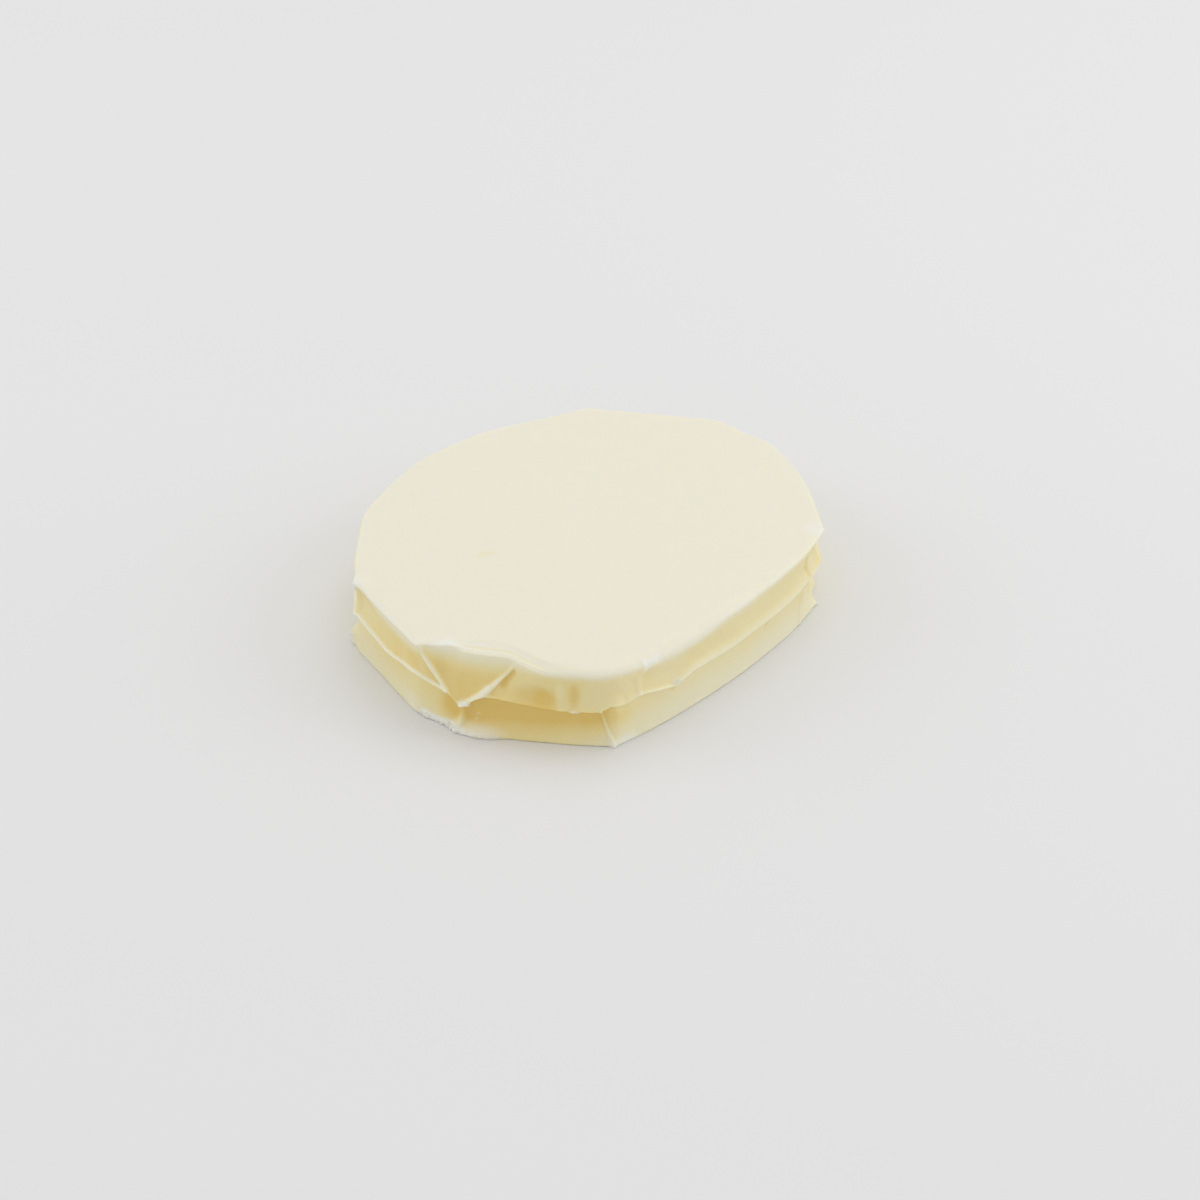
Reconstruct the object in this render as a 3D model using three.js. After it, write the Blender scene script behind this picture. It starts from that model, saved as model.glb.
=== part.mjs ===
// A slab of provolone cheese, one solid, in millimetres with +Z up.
//
// A tight vacuum film has pressed it into a flat oval with many blunt corners. The film's edge
// left a seam that stands proud half way up the wall, the wall is hollow above and below that
// seam, and the pleats of the film left thin ridges in it. At the front left corner a large
// pleat took a scoop out of the wall and left a shelf beside the top face.
//
// The slab rests on its flat underside. Its long axis is X, and its origin is the middle of
// its base.
//
// A place round the wall is a station: the number of a corner, and a share of the side that
// follows it. Station 8.4 is 40% of the way from corner 8 to corner 9.
import * as THREE from "three";

// ---- the outline ----

const THICKNESS = 22;

// Corners, counterclockwise from above. bow is how far the side that follows stands out from
// the straight line. round and highRound are how far along the outline the rounding of the
// corner reaches, below the seam and above it.
const CORNERS = [
  { x: 35.4, y: -53.5, bow: 0.1, round: 1.0, highRound: 1.0 },
  { x: 51.4, y: -39.4, bow: 0.9, round: 3.0, highRound: 3.0 },
  { x: 66.2, y: -18.6, bow: 0.0, round: 2.0, highRound: 2.0 },
  { x: 68.5, y: 0.2, bow: 0.0, round: 1.5, highRound: 1.5 },
  { x: 53.2, y: 35.2, bow: -0.4, round: 0.8, highRound: 0.8 },
  { x: 28.1, y: 50.0, bow: 0.4, round: 3.0, highRound: 3.0 },
  { x: 4.4, y: 56.4, bow: 0.9, round: 2.5, highRound: 2.5 },
  { x: -27.6, y: 51.5, bow: 0.6, round: 1.0, highRound: 1.0 },
  { x: -54.5, y: 33.0, bow: 0.0, round: 1.0, highRound: 1.0 },
  { x: -67.7, y: 3.1, bow: 0.2, round: 1.5, highRound: 1.5 },
  { x: -68.0, y: -9.9, bow: 1.3, round: 1.5, highRound: 3.0 },
  { x: -51.0, y: -46.1, bow: 0.2, round: 0.8, highRound: 7.0 },
  { x: -31.3, y: -51.4, bow: 0.9, round: 4.0, highRound: 4.0 },
  { x: 10.5, y: -56.0, bow: 1.0, round: 5.0, highRound: 5.0 },
];
const ROUNDING_SAMPLES = 9;
// How far above the seam the upper rounding is reached.
const ROUNDING_RISE = 3;
// An offset from the outline follows a smoothed normal, so that it never folds at a corner.
const NORMAL_REACH = 7;

// ---- the seam ----

// Its height, by station. The hollows above and below it start from its mean over a stretch
// this far to either side.
const SEAM_BASE_REACH = 3;
const SEAM = [
  [0.0, 12.1],
  [2.5, 10.8],
  [4.0, 11.6],
  [5.6, 10.7],
  [7.0, 11.8],
  [7.98, 11.2],
  [8.06, 12.0],
  [8.32, 11.1],
  [8.54, 10.7],
  [8.7, 11.3],
  [8.86, 12.3],
  [9.02, 13.0],
  [9.4, 12.3],
  [9.8, 11.5],
  [10.01, 8.8],
  [10.085, 9.1],
  [10.1, 10.5],
  [10.13, 11.4],
  [10.18, 12.1],
  [10.26, 12.1],
  [10.65, 10.4],
  [10.9, 10.5],
  [10.97, 12.5],
  [11.06, 12.3],
  [11.14, 11.8],
  [11.25, 12.5],
  [11.37, 12.7],
  [11.86, 10.4],
  [11.93, 9.9],
  [12.13, 11.6],
  [12.46, 11.0],
  [13.15, 11.3],
  [13.55, 12.2],
];
// How far it stands out, how far above it the wall flares, how deep it is undercut and how far
// below the seam that is, and how hollow the wall is above and below it, by station.
const WALL = [
  { at: 0.0, lip: 0.1, flare: 1.6, under: 0.4, drop: 0.8, above: 2.0, below: 3.0 },
  { at: 0.5, lip: 0.4, flare: 1.6, under: 0.4, drop: 0.7, above: 1.6, below: 2.6 },
  { at: 1.5, lip: 0.4, flare: 1.4, under: 0.6, drop: 0.5, above: 1.0, below: 0.7 },
  { at: 4.0, lip: 0.5, flare: 1.6, under: 0.6, drop: 0.5, above: 1.2, below: 0.9 },
  { at: 6.0, lip: 0.4, flare: 1.2, under: 0.6, drop: 0.5, above: 1.1, below: 0.8 },
  { at: 7.8, lip: 0.5, flare: 0.9, under: 0.3, drop: 0.5, above: 1.3, below: 0.6 },
  { at: 8.0, lip: 0.7, flare: 0.9, under: 0.2, drop: 0.5, above: 1.3, below: 0.3 },
  { at: 8.4, lip: 0.8, flare: 0.9, under: 0.3, drop: 0.5, above: 1.0, below: 0.3 },
  { at: 8.8, lip: 0.8, flare: 0.9, under: 0.3, drop: 0.5, above: 0.6, below: 0.3 },
  { at: 9.6, lip: 0.8, flare: 0.9, under: 0.3, drop: 0.5, above: 0.5, below: 0.3 },
  { at: 9.8, lip: 0.6, flare: 0.9, under: 0.6, drop: 0.5, above: 0.4, below: 0.4 },
  { at: 9.9, lip: 0.2, flare: 0.8, under: 0.8, drop: 0.4, above: 0.3, below: 0.5 },
  { at: 9.99, lip: 0.4, flare: 0.8, under: 1.0, drop: 0.4, above: 0.3, below: 0.5 },
  { at: 10.06, lip: 0.7, flare: 1.0, under: 1.3, drop: 0.4, above: 0.4, below: 0.7 },
  { at: 10.14, lip: 0.5, flare: 0.9, under: 1.3, drop: 0.4, above: 0.6, below: 0.7 },
  { at: 10.25, lip: 0.2, flare: 0.8, under: 1.1, drop: 0.5, above: 1.0, below: 0.7 },
  { at: 10.85, lip: 0.2, flare: 0.8, under: 1.1, drop: 0.5, above: 0.7, below: 0.7 },
  { at: 11.1, lip: 0.3, flare: 1.6, under: 0.4, drop: 0.6, above: 0.3, below: 0.2 },
  { at: 11.4, lip: 0.4, flare: 1.2, under: 0.4, drop: 0.4, above: 0.7, below: 0.3 },
  { at: 11.85, lip: 0.5, flare: 1.0, under: 0.4, drop: 0.4, above: 0.9, below: 0.3 },
  { at: 12.1, lip: 0.5, flare: 2.4, under: 0.4, drop: 0.7, above: 1.0, below: 0.3 },
  { at: 12.6, lip: 0.5, flare: 3.0, under: 0.5, drop: 0.7, above: 0.6, below: 0.2 },
  { at: 13.4, lip: 0.5, flare: 3.0, under: 0.5, drop: 0.7, above: 0.8, below: 0.7 },
  { at: 13.8, lip: 0.4, flare: 1.8, under: 0.4, drop: 0.6, above: 1.8, below: 2.0 },
];
const HOLLOW_POWER = 1.1;

// ---- the two long edges ----

// The wall ends at the crest, and the flat top begins at the brow. Both are measured in from
// the outline. Between them the edge is round, or is a shelf where shelf is 1. The wall leans
// in to its crest as this power of the height.
const EDGE = [
  { at: 0.0, crest: -0.1, crestZ: 21.0, brow: 1.0, shelf: 0.0, power: 3.0 },
  { at: 0.3, crest: -0.3, crestZ: 20.9, brow: 1.1, shelf: 0.0, power: 3.0 },
  { at: 1.9, crest: 0.0, crestZ: 20.9, brow: 1.1, shelf: 0.0, power: 3.0 },
  { at: 2.6, crest: -0.3, crestZ: 21.2, brow: 0.6, shelf: 0.0, power: 3.0 },
  { at: 7.7, crest: 0.0, crestZ: 21.2, brow: 0.6, shelf: 0.0, power: 3.0 },
  { at: 7.9, crest: 0.2, crestZ: 20.8, brow: 1.0, shelf: 0.0, power: 3.0 },
  { at: 8.0, crest: -0.3, crestZ: 20.6, brow: 0.9, shelf: 0.0, power: 3.0 },
  { at: 8.1, crest: 0.1, crestZ: 20.7, brow: 1.3, shelf: 0.0, power: 3.0 },
  { at: 8.5, crest: 0.5, crestZ: 20.8, brow: 1.7, shelf: 0.0, power: 2.0 },
  { at: 8.9, crest: 1.0, crestZ: 21.0, brow: 2.3, shelf: 0.0, power: 1.2 },
  { at: 9.05, crest: 1.4, crestZ: 21.2, brow: 2.8, shelf: 0.0, power: 0.8 },
  { at: 9.2, crest: 2.1, crestZ: 21.3, brow: 3.6, shelf: 0.0, power: 0.7 },
  { at: 9.4, crest: 3.3, crestZ: 21.3, brow: 5.3, shelf: 0.0, power: 0.8 },
  { at: 9.6, crest: 4.8, crestZ: 21.4, brow: 7.3, shelf: 0.1, power: 1.0 },
  { at: 9.8, crest: 5.1, crestZ: 21.2, brow: 8.8, shelf: 0.4, power: 1.1 },
  { at: 10.0, crest: 4.8, crestZ: 21.0, brow: 9.8, shelf: 0.9, power: 1.15 },
  { at: 10.12, crest: 4.9, crestZ: 21.0, brow: 10.5, shelf: 1.0, power: 1.25 },
  { at: 10.3, crest: 5.2, crestZ: 21.0, brow: 9.7, shelf: 1.0, power: 1.35 },
  { at: 10.4, crest: 3.3, crestZ: 20.7, brow: 8.2, shelf: 0.9, power: 1.5 },
  { at: 10.5, crest: 1.5, crestZ: 20.3, brow: 6.1, shelf: 0.75, power: 1.8 },
  { at: 10.57, crest: 0.9, crestZ: 20.0, brow: 4.9, shelf: 0.5, power: 2.0 },
  { at: 10.64, crest: 0.7, crestZ: 19.9, brow: 4.4, shelf: 0.15, power: 2.0 },
  { at: 10.7, crest: 0.6, crestZ: 19.9, brow: 4.0, shelf: 0.0, power: 2.0 },
  { at: 11.3, crest: 0.6, crestZ: 19.8, brow: 3.6, shelf: 0.0, power: 2.0 },
  { at: 11.5, crest: 0.5, crestZ: 19.2, brow: 3.4, shelf: 0.0, power: 2.0 },
  { at: 11.6, crest: 0.4, crestZ: 18.8, brow: 3.4, shelf: 0.0, power: 2.0 },
  { at: 12.2, crest: 0.5, crestZ: 18.5, brow: 3.7, shelf: 0.0, power: 2.0 },
  { at: 12.4, crest: 0.5, crestZ: 19.7, brow: 3.3, shelf: 0.0, power: 2.0 },
  { at: 12.6, crest: 0.4, crestZ: 20.0, brow: 3.1, shelf: 0.0, power: 2.0 },
  { at: 12.9, crest: 0.3, crestZ: 20.4, brow: 2.5, shelf: 0.0, power: 2.0 },
  { at: 13.6, crest: 0.1, crestZ: 20.9, brow: 1.5, shelf: 0.0, power: 3.0 },
];
// The shelf is a bead, a groove and the step up to the brow. From the crest at 0 to the brow at
// 1, the bead has risen at SHELF_STEPS.bead and the step runs between the other two.
const SHELF_STEPS = { bead: 0.3, from: 0.55, to: 0.95 };
const SHELF_GROOVE = 0.25;
const SHELF_GROOVE_AT = 0.4;
const SHELF_GROOVE_WIDTH = 0.2;
const SHELF_BEAD = 0.5;
// The scoop's face leaves the wall along a slanted fold. It meets the top at a station and
// height, and falls by this much for each millimetre along the wall. SCOOP_REACH is how far
// before the scoop's own corner its face is looked for.
const FOLD = { at: 9, z: 22.3, fall: 1 };
const SCOOP_LEAN = 0.85;
const SCOOP_REACH = 40;
const SCOOP_BLEND = 4;
const LEAST_BLEND = 0.01;
const BOTTOM_ROUND = 0.6;
const BOTTOM_FLARE = 0.5;
const BOTTOM_FLARE_HEIGHT = 2;

// ---- what the film's pleats left in the wall ----

// Ridges, and grooves where they stand out by less than nothing: each is a path of points with
// a station, a z, how far it stands out there and its half width. A crease narrower than
// LEAST_WIDTH is widened to it, as the columns show no finer one.
const LEAST_WIDTH = 1.5;
const CREASES = [
  [[9.08, 21.2, 0.3, 0.6], [9.23, 18.7, 0.7, 0.8], [9.38, 16.6, 0.9, 1.0], [9.78, 11.6, 0.5, 0.8]],
  [[10.03, 8.9, 0.5, 0.8], [10.07, 9.4, 0.6, 1.2], [10.08, 10.2, 0.5, 0.8]],
  [[10.04, 8.6, 0.7, 1.2], [10.02, 3.7, 0.9, 1.5], [9.95, 0.8, 0.5, 1.8]],
  [
    [10.08, 10.2, 0.6, 0.9],
    [10.14, 11.9, 0.9, 1.0],
    [10.2, 13.7, 1.0, 1.2],
    [10.26, 15.8, 0.8, 0.9],
    [10.32, 18.0, 0.5, 0.7],
    [10.36, 20.0, 0.2, 0.6],
  ],
  [[10.29, 15.0, -0.4, 1.1], [10.35, 18.0, -0.4, 1.1]],
  [[10.91, 10.4, 0.6, 0.6], [10.94, 6.0, 0.7, 0.6], [10.99, 0.4, 0.8, 0.9]],
  [[11.37, 12.6, 0.3, 1.2], [11.38, 17.0, 0.4, 1.8], [11.46, 18.6, 0.3, 1.4]],
  [[12.84, 7.6, -0.3, 0.7], [12.88, 10.4, -0.3, 0.7]],
  [[13.7, 19.4, -0.6, 0.7], [13.59, 17.0, -0.7, 0.8], [13.6, 9.4, -0.6, 0.8]],
  [[13.66, 17.6, 0.5, 1.0], [13.66, 12.4, 0.4, 0.9]],
  [[13.54, 8.6, 0.4, 0.7], [13.42, 0.8, 0.5, 0.9]],
  [[0.02, 21.0, 0.3, 1.0], [13.97, 12.0, 0.3, 1.0], [13.84, 0.8, 0.6, 1.0]],
];
// A dimple, or a knob where it is less than nothing deep, with its half sizes along and up.
const DIMPLES = [
  { at: [10.5, 14.0], size: [6.5, 3.2], depth: 1.0 },
  { at: [10.745, 14.2], size: [2.2, 4.8], depth: 0.7 },
  { at: [10.65, 14.5], size: [1.6, 5.5], depth: -0.4 },
  { at: [10.74, 10.2], size: [1.6, 0.8], depth: -0.7 },
  { at: [11.93, 9.0], size: [1.4, 1.2], depth: 0.5 },
  { at: [11.96, 11.0], size: [1.6, 1.2], depth: -0.4 },
  { at: [11.12, 11.0], size: [2.6, 1.3], depth: 0.4 },
  { at: [10.14, 0.0], size: [9.0, 5.0], depth: -1.6 },
  { at: [7.86, 2.4], size: [4.5, 4.6], depth: -2.1 },
  { at: [8.0, 16.0], size: [2.6, 6.0], depth: -0.8 },
  { at: [0.03, 0.0], size: [5.5, 4.6], depth: 1.6 },
  { at: [13.83, 0.0], size: [2.4, 3.0], depth: -0.3 },
];
// Each far corner has a pleat from top to foot, thickest at the seam, and a shorter one beyond
// it that runs up or down from the seam. Both are [how far out, half width] at their ends.
const FAR_CORNERS = [1, 2, 3, 4, 5, 6, 7];
const FAR_PLEAT = { top: 20.5, foot: 0.8, least: 0.4, most: 1.0, width: 1.4, lean: 3.0 };
const FAR_PLEAT_END = [0.2, 0.8];
// The second pleat starts this far from the corner, ends at a height in one of two ranges, and
// meets the seam this share of the way from the first.
const FAR_SECOND = { near: 4, far: 9, up: [14, 19], down: [2, 6], downShare: 0.4, meets: 0.3 };
// Each choice for a corner takes its own number from chance, the corner's number and this.
const CHANCE = { knee: 0, foot: 40, second: 30, goal: 50, out: 60, end: 20 };

// ---- frayed stretches ----

// Cheese has torn away along part of the top edge and part of the bottom edge.
const TOP_FRAY = { from: 2.02, to: 2.98, tooth: 2.6, depth: 0.8 };
const BOTTOM_FRAY = { from: 8.98, to: 10.0, tooth: 1.7, depth: 0.7 };
// The bottom's teeth reach up to this height, and the top's start at this share of the crest's.
const FRAY_HEIGHT = 2.2;
const TOP_FRAY_START = 0.8;
// The top's gentle waves.
const UNEVEN = { height: 0.12, length: 19, shiftX: 1, shiftY: -0.5 };

// ---- how finely it is cut up ----

// The distance between columns, and the stretch with the most pleats, which is finer.
const COLUMN_STEP = 2.4;
const FINE_STEP = 1.0;
const FINE = { from: 8.85, to: 11.7 };
// Rows: shares of the round of the foot, of the wall's height below and above the seam, and of
// the way round the top edge. Then rings on the top, as shares of the way to its middle.
const FOOT_ROWS = [0, 0.5];
const BELOW_SEAM = [0.04, 0.12, 0.25, 0.42, 0.6, 0.76, 0.87, 0.94, 1];
const ABOVE_SEAM = [0.05, 0.12, 0.2, 0.3, 0.42, 0.54, 0.66, 0.78, 0.9, 1];
const EDGE_ROWS = [0.22, 0.42, 0.62, 0.82, 1];
const TOP_RINGS = [0.05, 0.3];

// ---- small helpers ----

const lerp = (a, b, t) => a + (b - a) * t;
const clamp = (x) => Math.min(1, Math.max(0, x));
const ease = (x) => clamp(x) ** 2 * (3 - 2 * clamp(x));
const swell = (x) => (Math.abs(x) < 1 ? (1 - x * x) ** 2 : 0);
const hollowShape = (t) => Math.sin(Math.PI * clamp(t)) ** HOLLOW_POWER;
// A number from 0 to 1 that is always the same for the same n.
const chance = (n) => {
  const x = Math.sin(n * 12.9898 + 4.1) * 43758.5453;
  return x - Math.floor(x);
};

// ---- distances along the outline ----

const count = CORNERS.length;
const corner = (i) => CORNERS[((i % count) + count) % count];
const sideLength = (i) => Math.hypot(corner(i + 1).x - corner(i).x, corner(i + 1).y - corner(i).y);
const startOf = [0];
for (let i = 0; i < count; i++) startOf.push(startOf[i] + sideLength(i));
const around = startOf[count];
const wrap = (d) => ((d % around) + around) % around;

function distanceAt(station) {
  const i = Math.floor(station);
  return startOf[i] + (station - i) * sideLength(i);
}

function stationAt(distance) {
  const d = wrap(distance);
  let i = 0;
  while (startOf[i + 1] <= d) i++;
  return i + (d - startOf[i]) / sideLength(i);
}

// The shortest way along the outline from one distance to another, with its sign.
const gap = (d, from) => wrap(d - from + around / 2) - around / 2;

// The values of a table at a station, on curves that never overshoot its rows.
function tableAt(rows, station) {
  const row = (k) => rows[(k + rows.length) % rows.length];
  const at = (k) => row(k).at + count * Math.floor(k / rows.length);
  let i = rows.length - 1;
  while (at(i) > station) i--;
  const span = at(i + 1) - at(i);
  const t = (station - at(i)) / span;
  const valueOf = (name) => {
    const slope = (k) => (row(k + 1)[name] - row(k)[name]) / (at(k + 1) - at(k));
    const tangent = (k) => {
      const product = slope(k - 1) * slope(k);
      return product > 0 ? (2 * product) / (slope(k - 1) + slope(k)) : 0;
    };
    const bend = tangent(i) * t * (1 - t) ** 2 - tangent(i + 1) * t ** 2 * (1 - t);
    return lerp(row(i)[name], row(i + 1)[name], ease(t)) + span * bend;
  };
  return Object.fromEntries(Object.keys(rows[0]).map((name) => [name, valueOf(name)]));
}

function seamHeight(station) {
  let i = SEAM.length - 1;
  while (i > 0 && SEAM[i][0] > station) i--;
  const next = SEAM[(i + 1) % SEAM.length];
  const span = (next[0] - SEAM[i][0] + count) % count;
  return lerp(SEAM[i][1], next[1], (station - SEAM[i][0]) / span);
}

// The seam's height without its sudden steps, where the wall's lean and hollows start.
function seamBase(distance) {
  let height = 0;
  for (let k = 0; k < ROUNDING_SAMPLES; k++) {
    const along = SEAM_BASE_REACH * ((2 * k) / (ROUNDING_SAMPLES - 1) - 1);
    height += seamHeight(stationAt(distance + along)) / ROUNDING_SAMPLES;
  }
  return height;
}

// ---- the outline's points ----

function sharpPoint(distance) {
  const station = stationAt(distance);
  const i = Math.floor(station);
  const t = station - i;
  const a = corner(i);
  const b = corner(i + 1);
  const bow = (a.bow * 4 * t * (1 - t)) / sideLength(i);
  return [lerp(a.x, b.x, t) + (b.y - a.y) * bow, lerp(a.y, b.y, t) - (b.x - a.x) * bow];
}

// The mean of the sharp outline over a short stretch, which rounds its corners.
function meanPoint(distance, reach) {
  let [x, y] = [0, 0];
  for (let k = 0; k < ROUNDING_SAMPLES; k++) {
    const [px, py] = sharpPoint(distance + reach * ((2 * k) / (ROUNDING_SAMPLES - 1) - 1));
    x += px / ROUNDING_SAMPLES;
    y += py / ROUNDING_SAMPLES;
  }
  return [x, y];
}

function outlinePoint(distance, rounding) {
  const station = stationAt(distance);
  const i = Math.floor(station);
  const reach = lerp(corner(i)[rounding], corner(i + 1)[rounding], ease(station - i));
  return meanPoint(distance, reach);
}

function outwardAt(distance) {
  const [ax, ay] = meanPoint(distance - NORMAL_REACH / 2, NORMAL_REACH);
  const [bx, by] = meanPoint(distance + NORMAL_REACH / 2, NORMAL_REACH);
  const length = Math.hypot(bx - ax, by - ay);
  return [(by - ay) / length, (ax - bx) / length];
}

// ---- relief in the wall ----

// How far a crease stands out, by the distance to the nearest part of its path.
function creaseOut(crease, distance, z) {
  let out = 0;
  for (let k = 0; k + 1 < crease.length; k++) {
    const [station, height, rise, width] = crease[k];
    const [nextStation, nextHeight, nextRise, nextWidth] = crease[k + 1];
    const dx = gap(distanceAt(nextStation), distanceAt(station));
    const dz = nextHeight - height;
    const px = gap(distance, distanceAt(station));
    const pz = z - height;
    const t = clamp((px * dx + pz * dz) / (dx * dx + dz * dz));
    const reach = Math.max(lerp(width, nextWidth, t), LEAST_WIDTH);
    const here = lerp(rise, nextRise, t) * swell(Math.hypot(px - t * dx, pz - t * dz) / reach);
    if (Math.abs(here) > Math.abs(out)) out = here;
  }
  return out;
}

function dimpleOut({ at, size, depth }, distance, z) {
  const across = gap(distance, distanceAt(at[0])) / size[0];
  return -depth * swell(Math.hypot(across, (z - at[1]) / size[1]));
}

function farCreases() {
  const { top, foot, least, most, width, lean } = FAR_PLEAT;
  return FAR_CORNERS.flatMap((i) => {
    const pick = (from, to, choice) => lerp(from, to, chance(i + choice));
    const seam = seamHeight(i);
    const knee = i + pick(0, lean, CHANCE.knee) / sideLength(i);
    const heel = i + pick(0, lean, CHANCE.foot) / sideLength(i);
    const second = i + pick(FAR_SECOND.near, FAR_SECOND.far, CHANCE.second) / sideLength(i);
    const isDown = chance(i + CHANCE.goal) < FAR_SECOND.downShare;
    const goal = isDown ? FAR_SECOND.down : FAR_SECOND.up;
    const middle = [pick(least, most, CHANCE.out), width];
    const meeting = lerp(knee, second, FAR_SECOND.meets);
    return [
      [[i, top, ...FAR_PLEAT_END], [knee, seam, ...middle], [heel, foot, ...FAR_PLEAT_END]],
      [[second, pick(...goal, CHANCE.end), ...FAR_PLEAT_END], [meeting, seam, ...middle]],
    ];
  });
}

// Uneven teeth along an edge, from 0 to 1, fading out at both ends of the stretch.
function frayAt({ from, to, tooth }, distance) {
  const start = distanceAt(from);
  const length = distanceAt(to) - start;
  const along = gap(distance, start + length / 2) + length / 2;
  if (along <= 0 || along >= length) return 0;
  const n = Math.floor(along / tooth);
  const t = along / tooth - n;
  const ends = ease(along / tooth) * ease((length - along) / tooth);
  return lerp(chance(n + from), chance(n + 1 + from), ease(t)) * ends;
}

const ALL_CREASES = [...CREASES, ...farCreases()];

// How far the wall has leant in at a height: as far as its crest asks, or as the scoop's face
// does where that is less.
function leanIn(distance, z, lean) {
  if (gap(distance, distanceAt(FOLD.at + 1)) < -SCOOP_REACH) return lean;
  const past = z - FOLD.z + FOLD.fall * gap(distance, distanceAt(FOLD.at));
  const face = SCOOP_LEAN * Math.max(past, 0);
  const blend = Math.min(Math.max(face, LEAST_BLEND), SCOOP_BLEND);
  const overlap = Math.max(1 - Math.abs(face - lean) / blend, 0);
  return Math.min(face, lean) - (overlap ** 2 * blend) / 4;
}

// How far the seam and the creases stand out past the wall's broad form, or lie behind it.
function reliefOut(distance, z) {
  const station = stationAt(distance);
  const seam = seamHeight(station);
  const { lip, flare, under, drop } = tableAt(WALL, station);
  const fall = (seam - z) / drop;
  const rest = (seam - z - drop) / (seam - drop);
  const upper = lip * swell(clamp((z - seam) / flare));
  const lower = lerp(lip, -under, ease(fall)) * (fall < 1 ? 1 : 1 - ease(rest));
  let out = z >= seam ? upper : lower;
  for (const crease of ALL_CREASES) out += creaseOut(crease, distance, z);
  return out;
}

// How far the wall stands out from the outline at a height.
function wallOut(distance, z) {
  const station = stationAt(distance);
  const base = seamBase(distance);
  const { crest, crestZ, power } = tableAt(EDGE, station);
  const { above, below } = tableAt(WALL, station);

  const t = clamp((z - base) / (crestZ - base));
  let out = reliefOut(distance, z) - leanIn(distance, z, crest * t ** power);
  out -= above * hollowShape(t) + below * hollowShape(z / base);
  out += BOTTOM_FLARE * clamp(1 - z / BOTTOM_FLARE_HEIGHT) ** 2;
  for (const dimple of DIMPLES) out += dimpleOut(dimple, distance, z);
  out -= BOTTOM_FRAY.depth * frayAt(BOTTOM_FRAY, distance) * clamp(1 - z / FRAY_HEIGHT);
  return out;
}

function topHeight(x, y) {
  const wave =
    Math.sin(x / UNEVEN.length + UNEVEN.shiftX) * Math.cos(y / UNEVEN.length + UNEVEN.shiftY);
  return THICKNESS - UNEVEN.height * (1 + wave);
}

// ---- one column, from the underside to the middle of the top ----

function columnAt(distance) {
  const station = stationAt(distance);
  const low = outlinePoint(distance, "round");
  const high = outlinePoint(distance, "highRound");
  const [nx, ny] = outwardAt(distance);
  const seam = seamHeight(station);
  const { crestZ, brow, shelf } = tableAt(EDGE, station);
  const fray = TOP_FRAY.depth * frayAt(TOP_FRAY, distance);
  const placeAt = (out, z) => {
    const rise = ease((z - seam) / ROUNDING_RISE);
    return [lerp(low[0], high[0], rise) + nx * out, lerp(low[1], high[1], rise) + ny * out];
  };

  const footOut = wallOut(distance, BOTTOM_ROUND);
  const column = [];
  for (const share of FOOT_ROWS) {
    const turn = (share * Math.PI) / 2;
    const z = BOTTOM_ROUND * (1 - Math.cos(turn));
    column.push([...placeAt(footOut - BOTTOM_ROUND * (1 - Math.sin(turn)), z), z]);
  }
  for (const share of BELOW_SEAM) {
    const z = lerp(BOTTOM_ROUND, seam, share);
    column.push([...placeAt(wallOut(distance, z), z), z]);
  }
  for (const share of ABOVE_SEAM) {
    const z = lerp(seam, crestZ, share);
    const out = wallOut(distance, z) - fray * ease((z / crestZ - TOP_FRAY_START) / (1 - TOP_FRAY_START));
    column.push([...placeAt(out, z), z]);
  }
  const crestOut = wallOut(distance, crestZ) - fray;
  for (const share of EDGE_ROWS) {
    const turn = (share * Math.PI) / 2;
    const inward = lerp(1 - Math.cos(turn), share, shelf);
    const stepUp = ease((share - SHELF_STEPS.from) / (SHELF_STEPS.to - SHELF_STEPS.from));
    const step = lerp(stepUp, ease(share / SHELF_STEPS.bead), SHELF_BEAD);
    const [x, y] = placeAt(lerp(crestOut, -brow - fray, inward), crestZ);
    const z = lerp(crestZ, topHeight(x, y), lerp(Math.sin(turn), step, shelf));
    const groove = shelf * swell((share - SHELF_GROOVE_AT) / SHELF_GROOVE_WIDTH);
    column.push([x, y, z - SHELF_GROOVE * groove]);
  }
  const [bx, by] = column[column.length - 1];
  for (const share of TOP_RINGS) {
    const x = bx * (1 - share);
    const y = by * (1 - share);
    column.push([x, y, topHeight(x, y)]);
  }
  return column;
}

function columnDistances() {
  const cuts = [0, distanceAt(FINE.from), distanceAt(FINE.to), around];
  const steps = [COLUMN_STEP, FINE_STEP, COLUMN_STEP];
  return steps.flatMap((step, k) => {
    const length = cuts[k + 1] - cuts[k];
    const n = Math.round(length / step);
    return Array.from({ length: n }, (_, j) => cuts[k] + (length * j) / n);
  });
}

function cheeseGeometry() {
  const columns = columnDistances().map(columnAt);
  const rows = columns[0].length;
  const points = columns.flat();
  const base = points.push([0, 0, 0]) - 1;
  const middle = points.push([0, 0, topHeight(0, 0)]) - 1;
  const faces = [];
  for (let i = 0; i < columns.length; i++) {
    const here = i * rows;
    const next = ((i + 1) % columns.length) * rows;
    faces.push(base, next, here);
    for (let j = 0; j + 1 < rows; j++) {
      faces.push(here + j, next + j, next + j + 1);
      faces.push(here + j, next + j + 1, here + j + 1);
    }
    faces.push(middle, here + rows - 1, next + rows - 1);
  }
  const geometry = new THREE.BufferGeometry();
  geometry.setAttribute("position", new THREE.Float32BufferAttribute(points.flat(), 3));
  geometry.setIndex(faces);
  geometry.computeVertexNormals();
  return geometry;
}

const paste = new THREE.MeshStandardMaterial({ color: 0xece7d4, roughness: 0.5, metalness: 0 });
const cheese = new THREE.Mesh(cheeseGeometry(), paste);
cheese.name = "cheese";

const slab = new THREE.Group();
slab.add(cheese);

export default slab;
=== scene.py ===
import math

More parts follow.
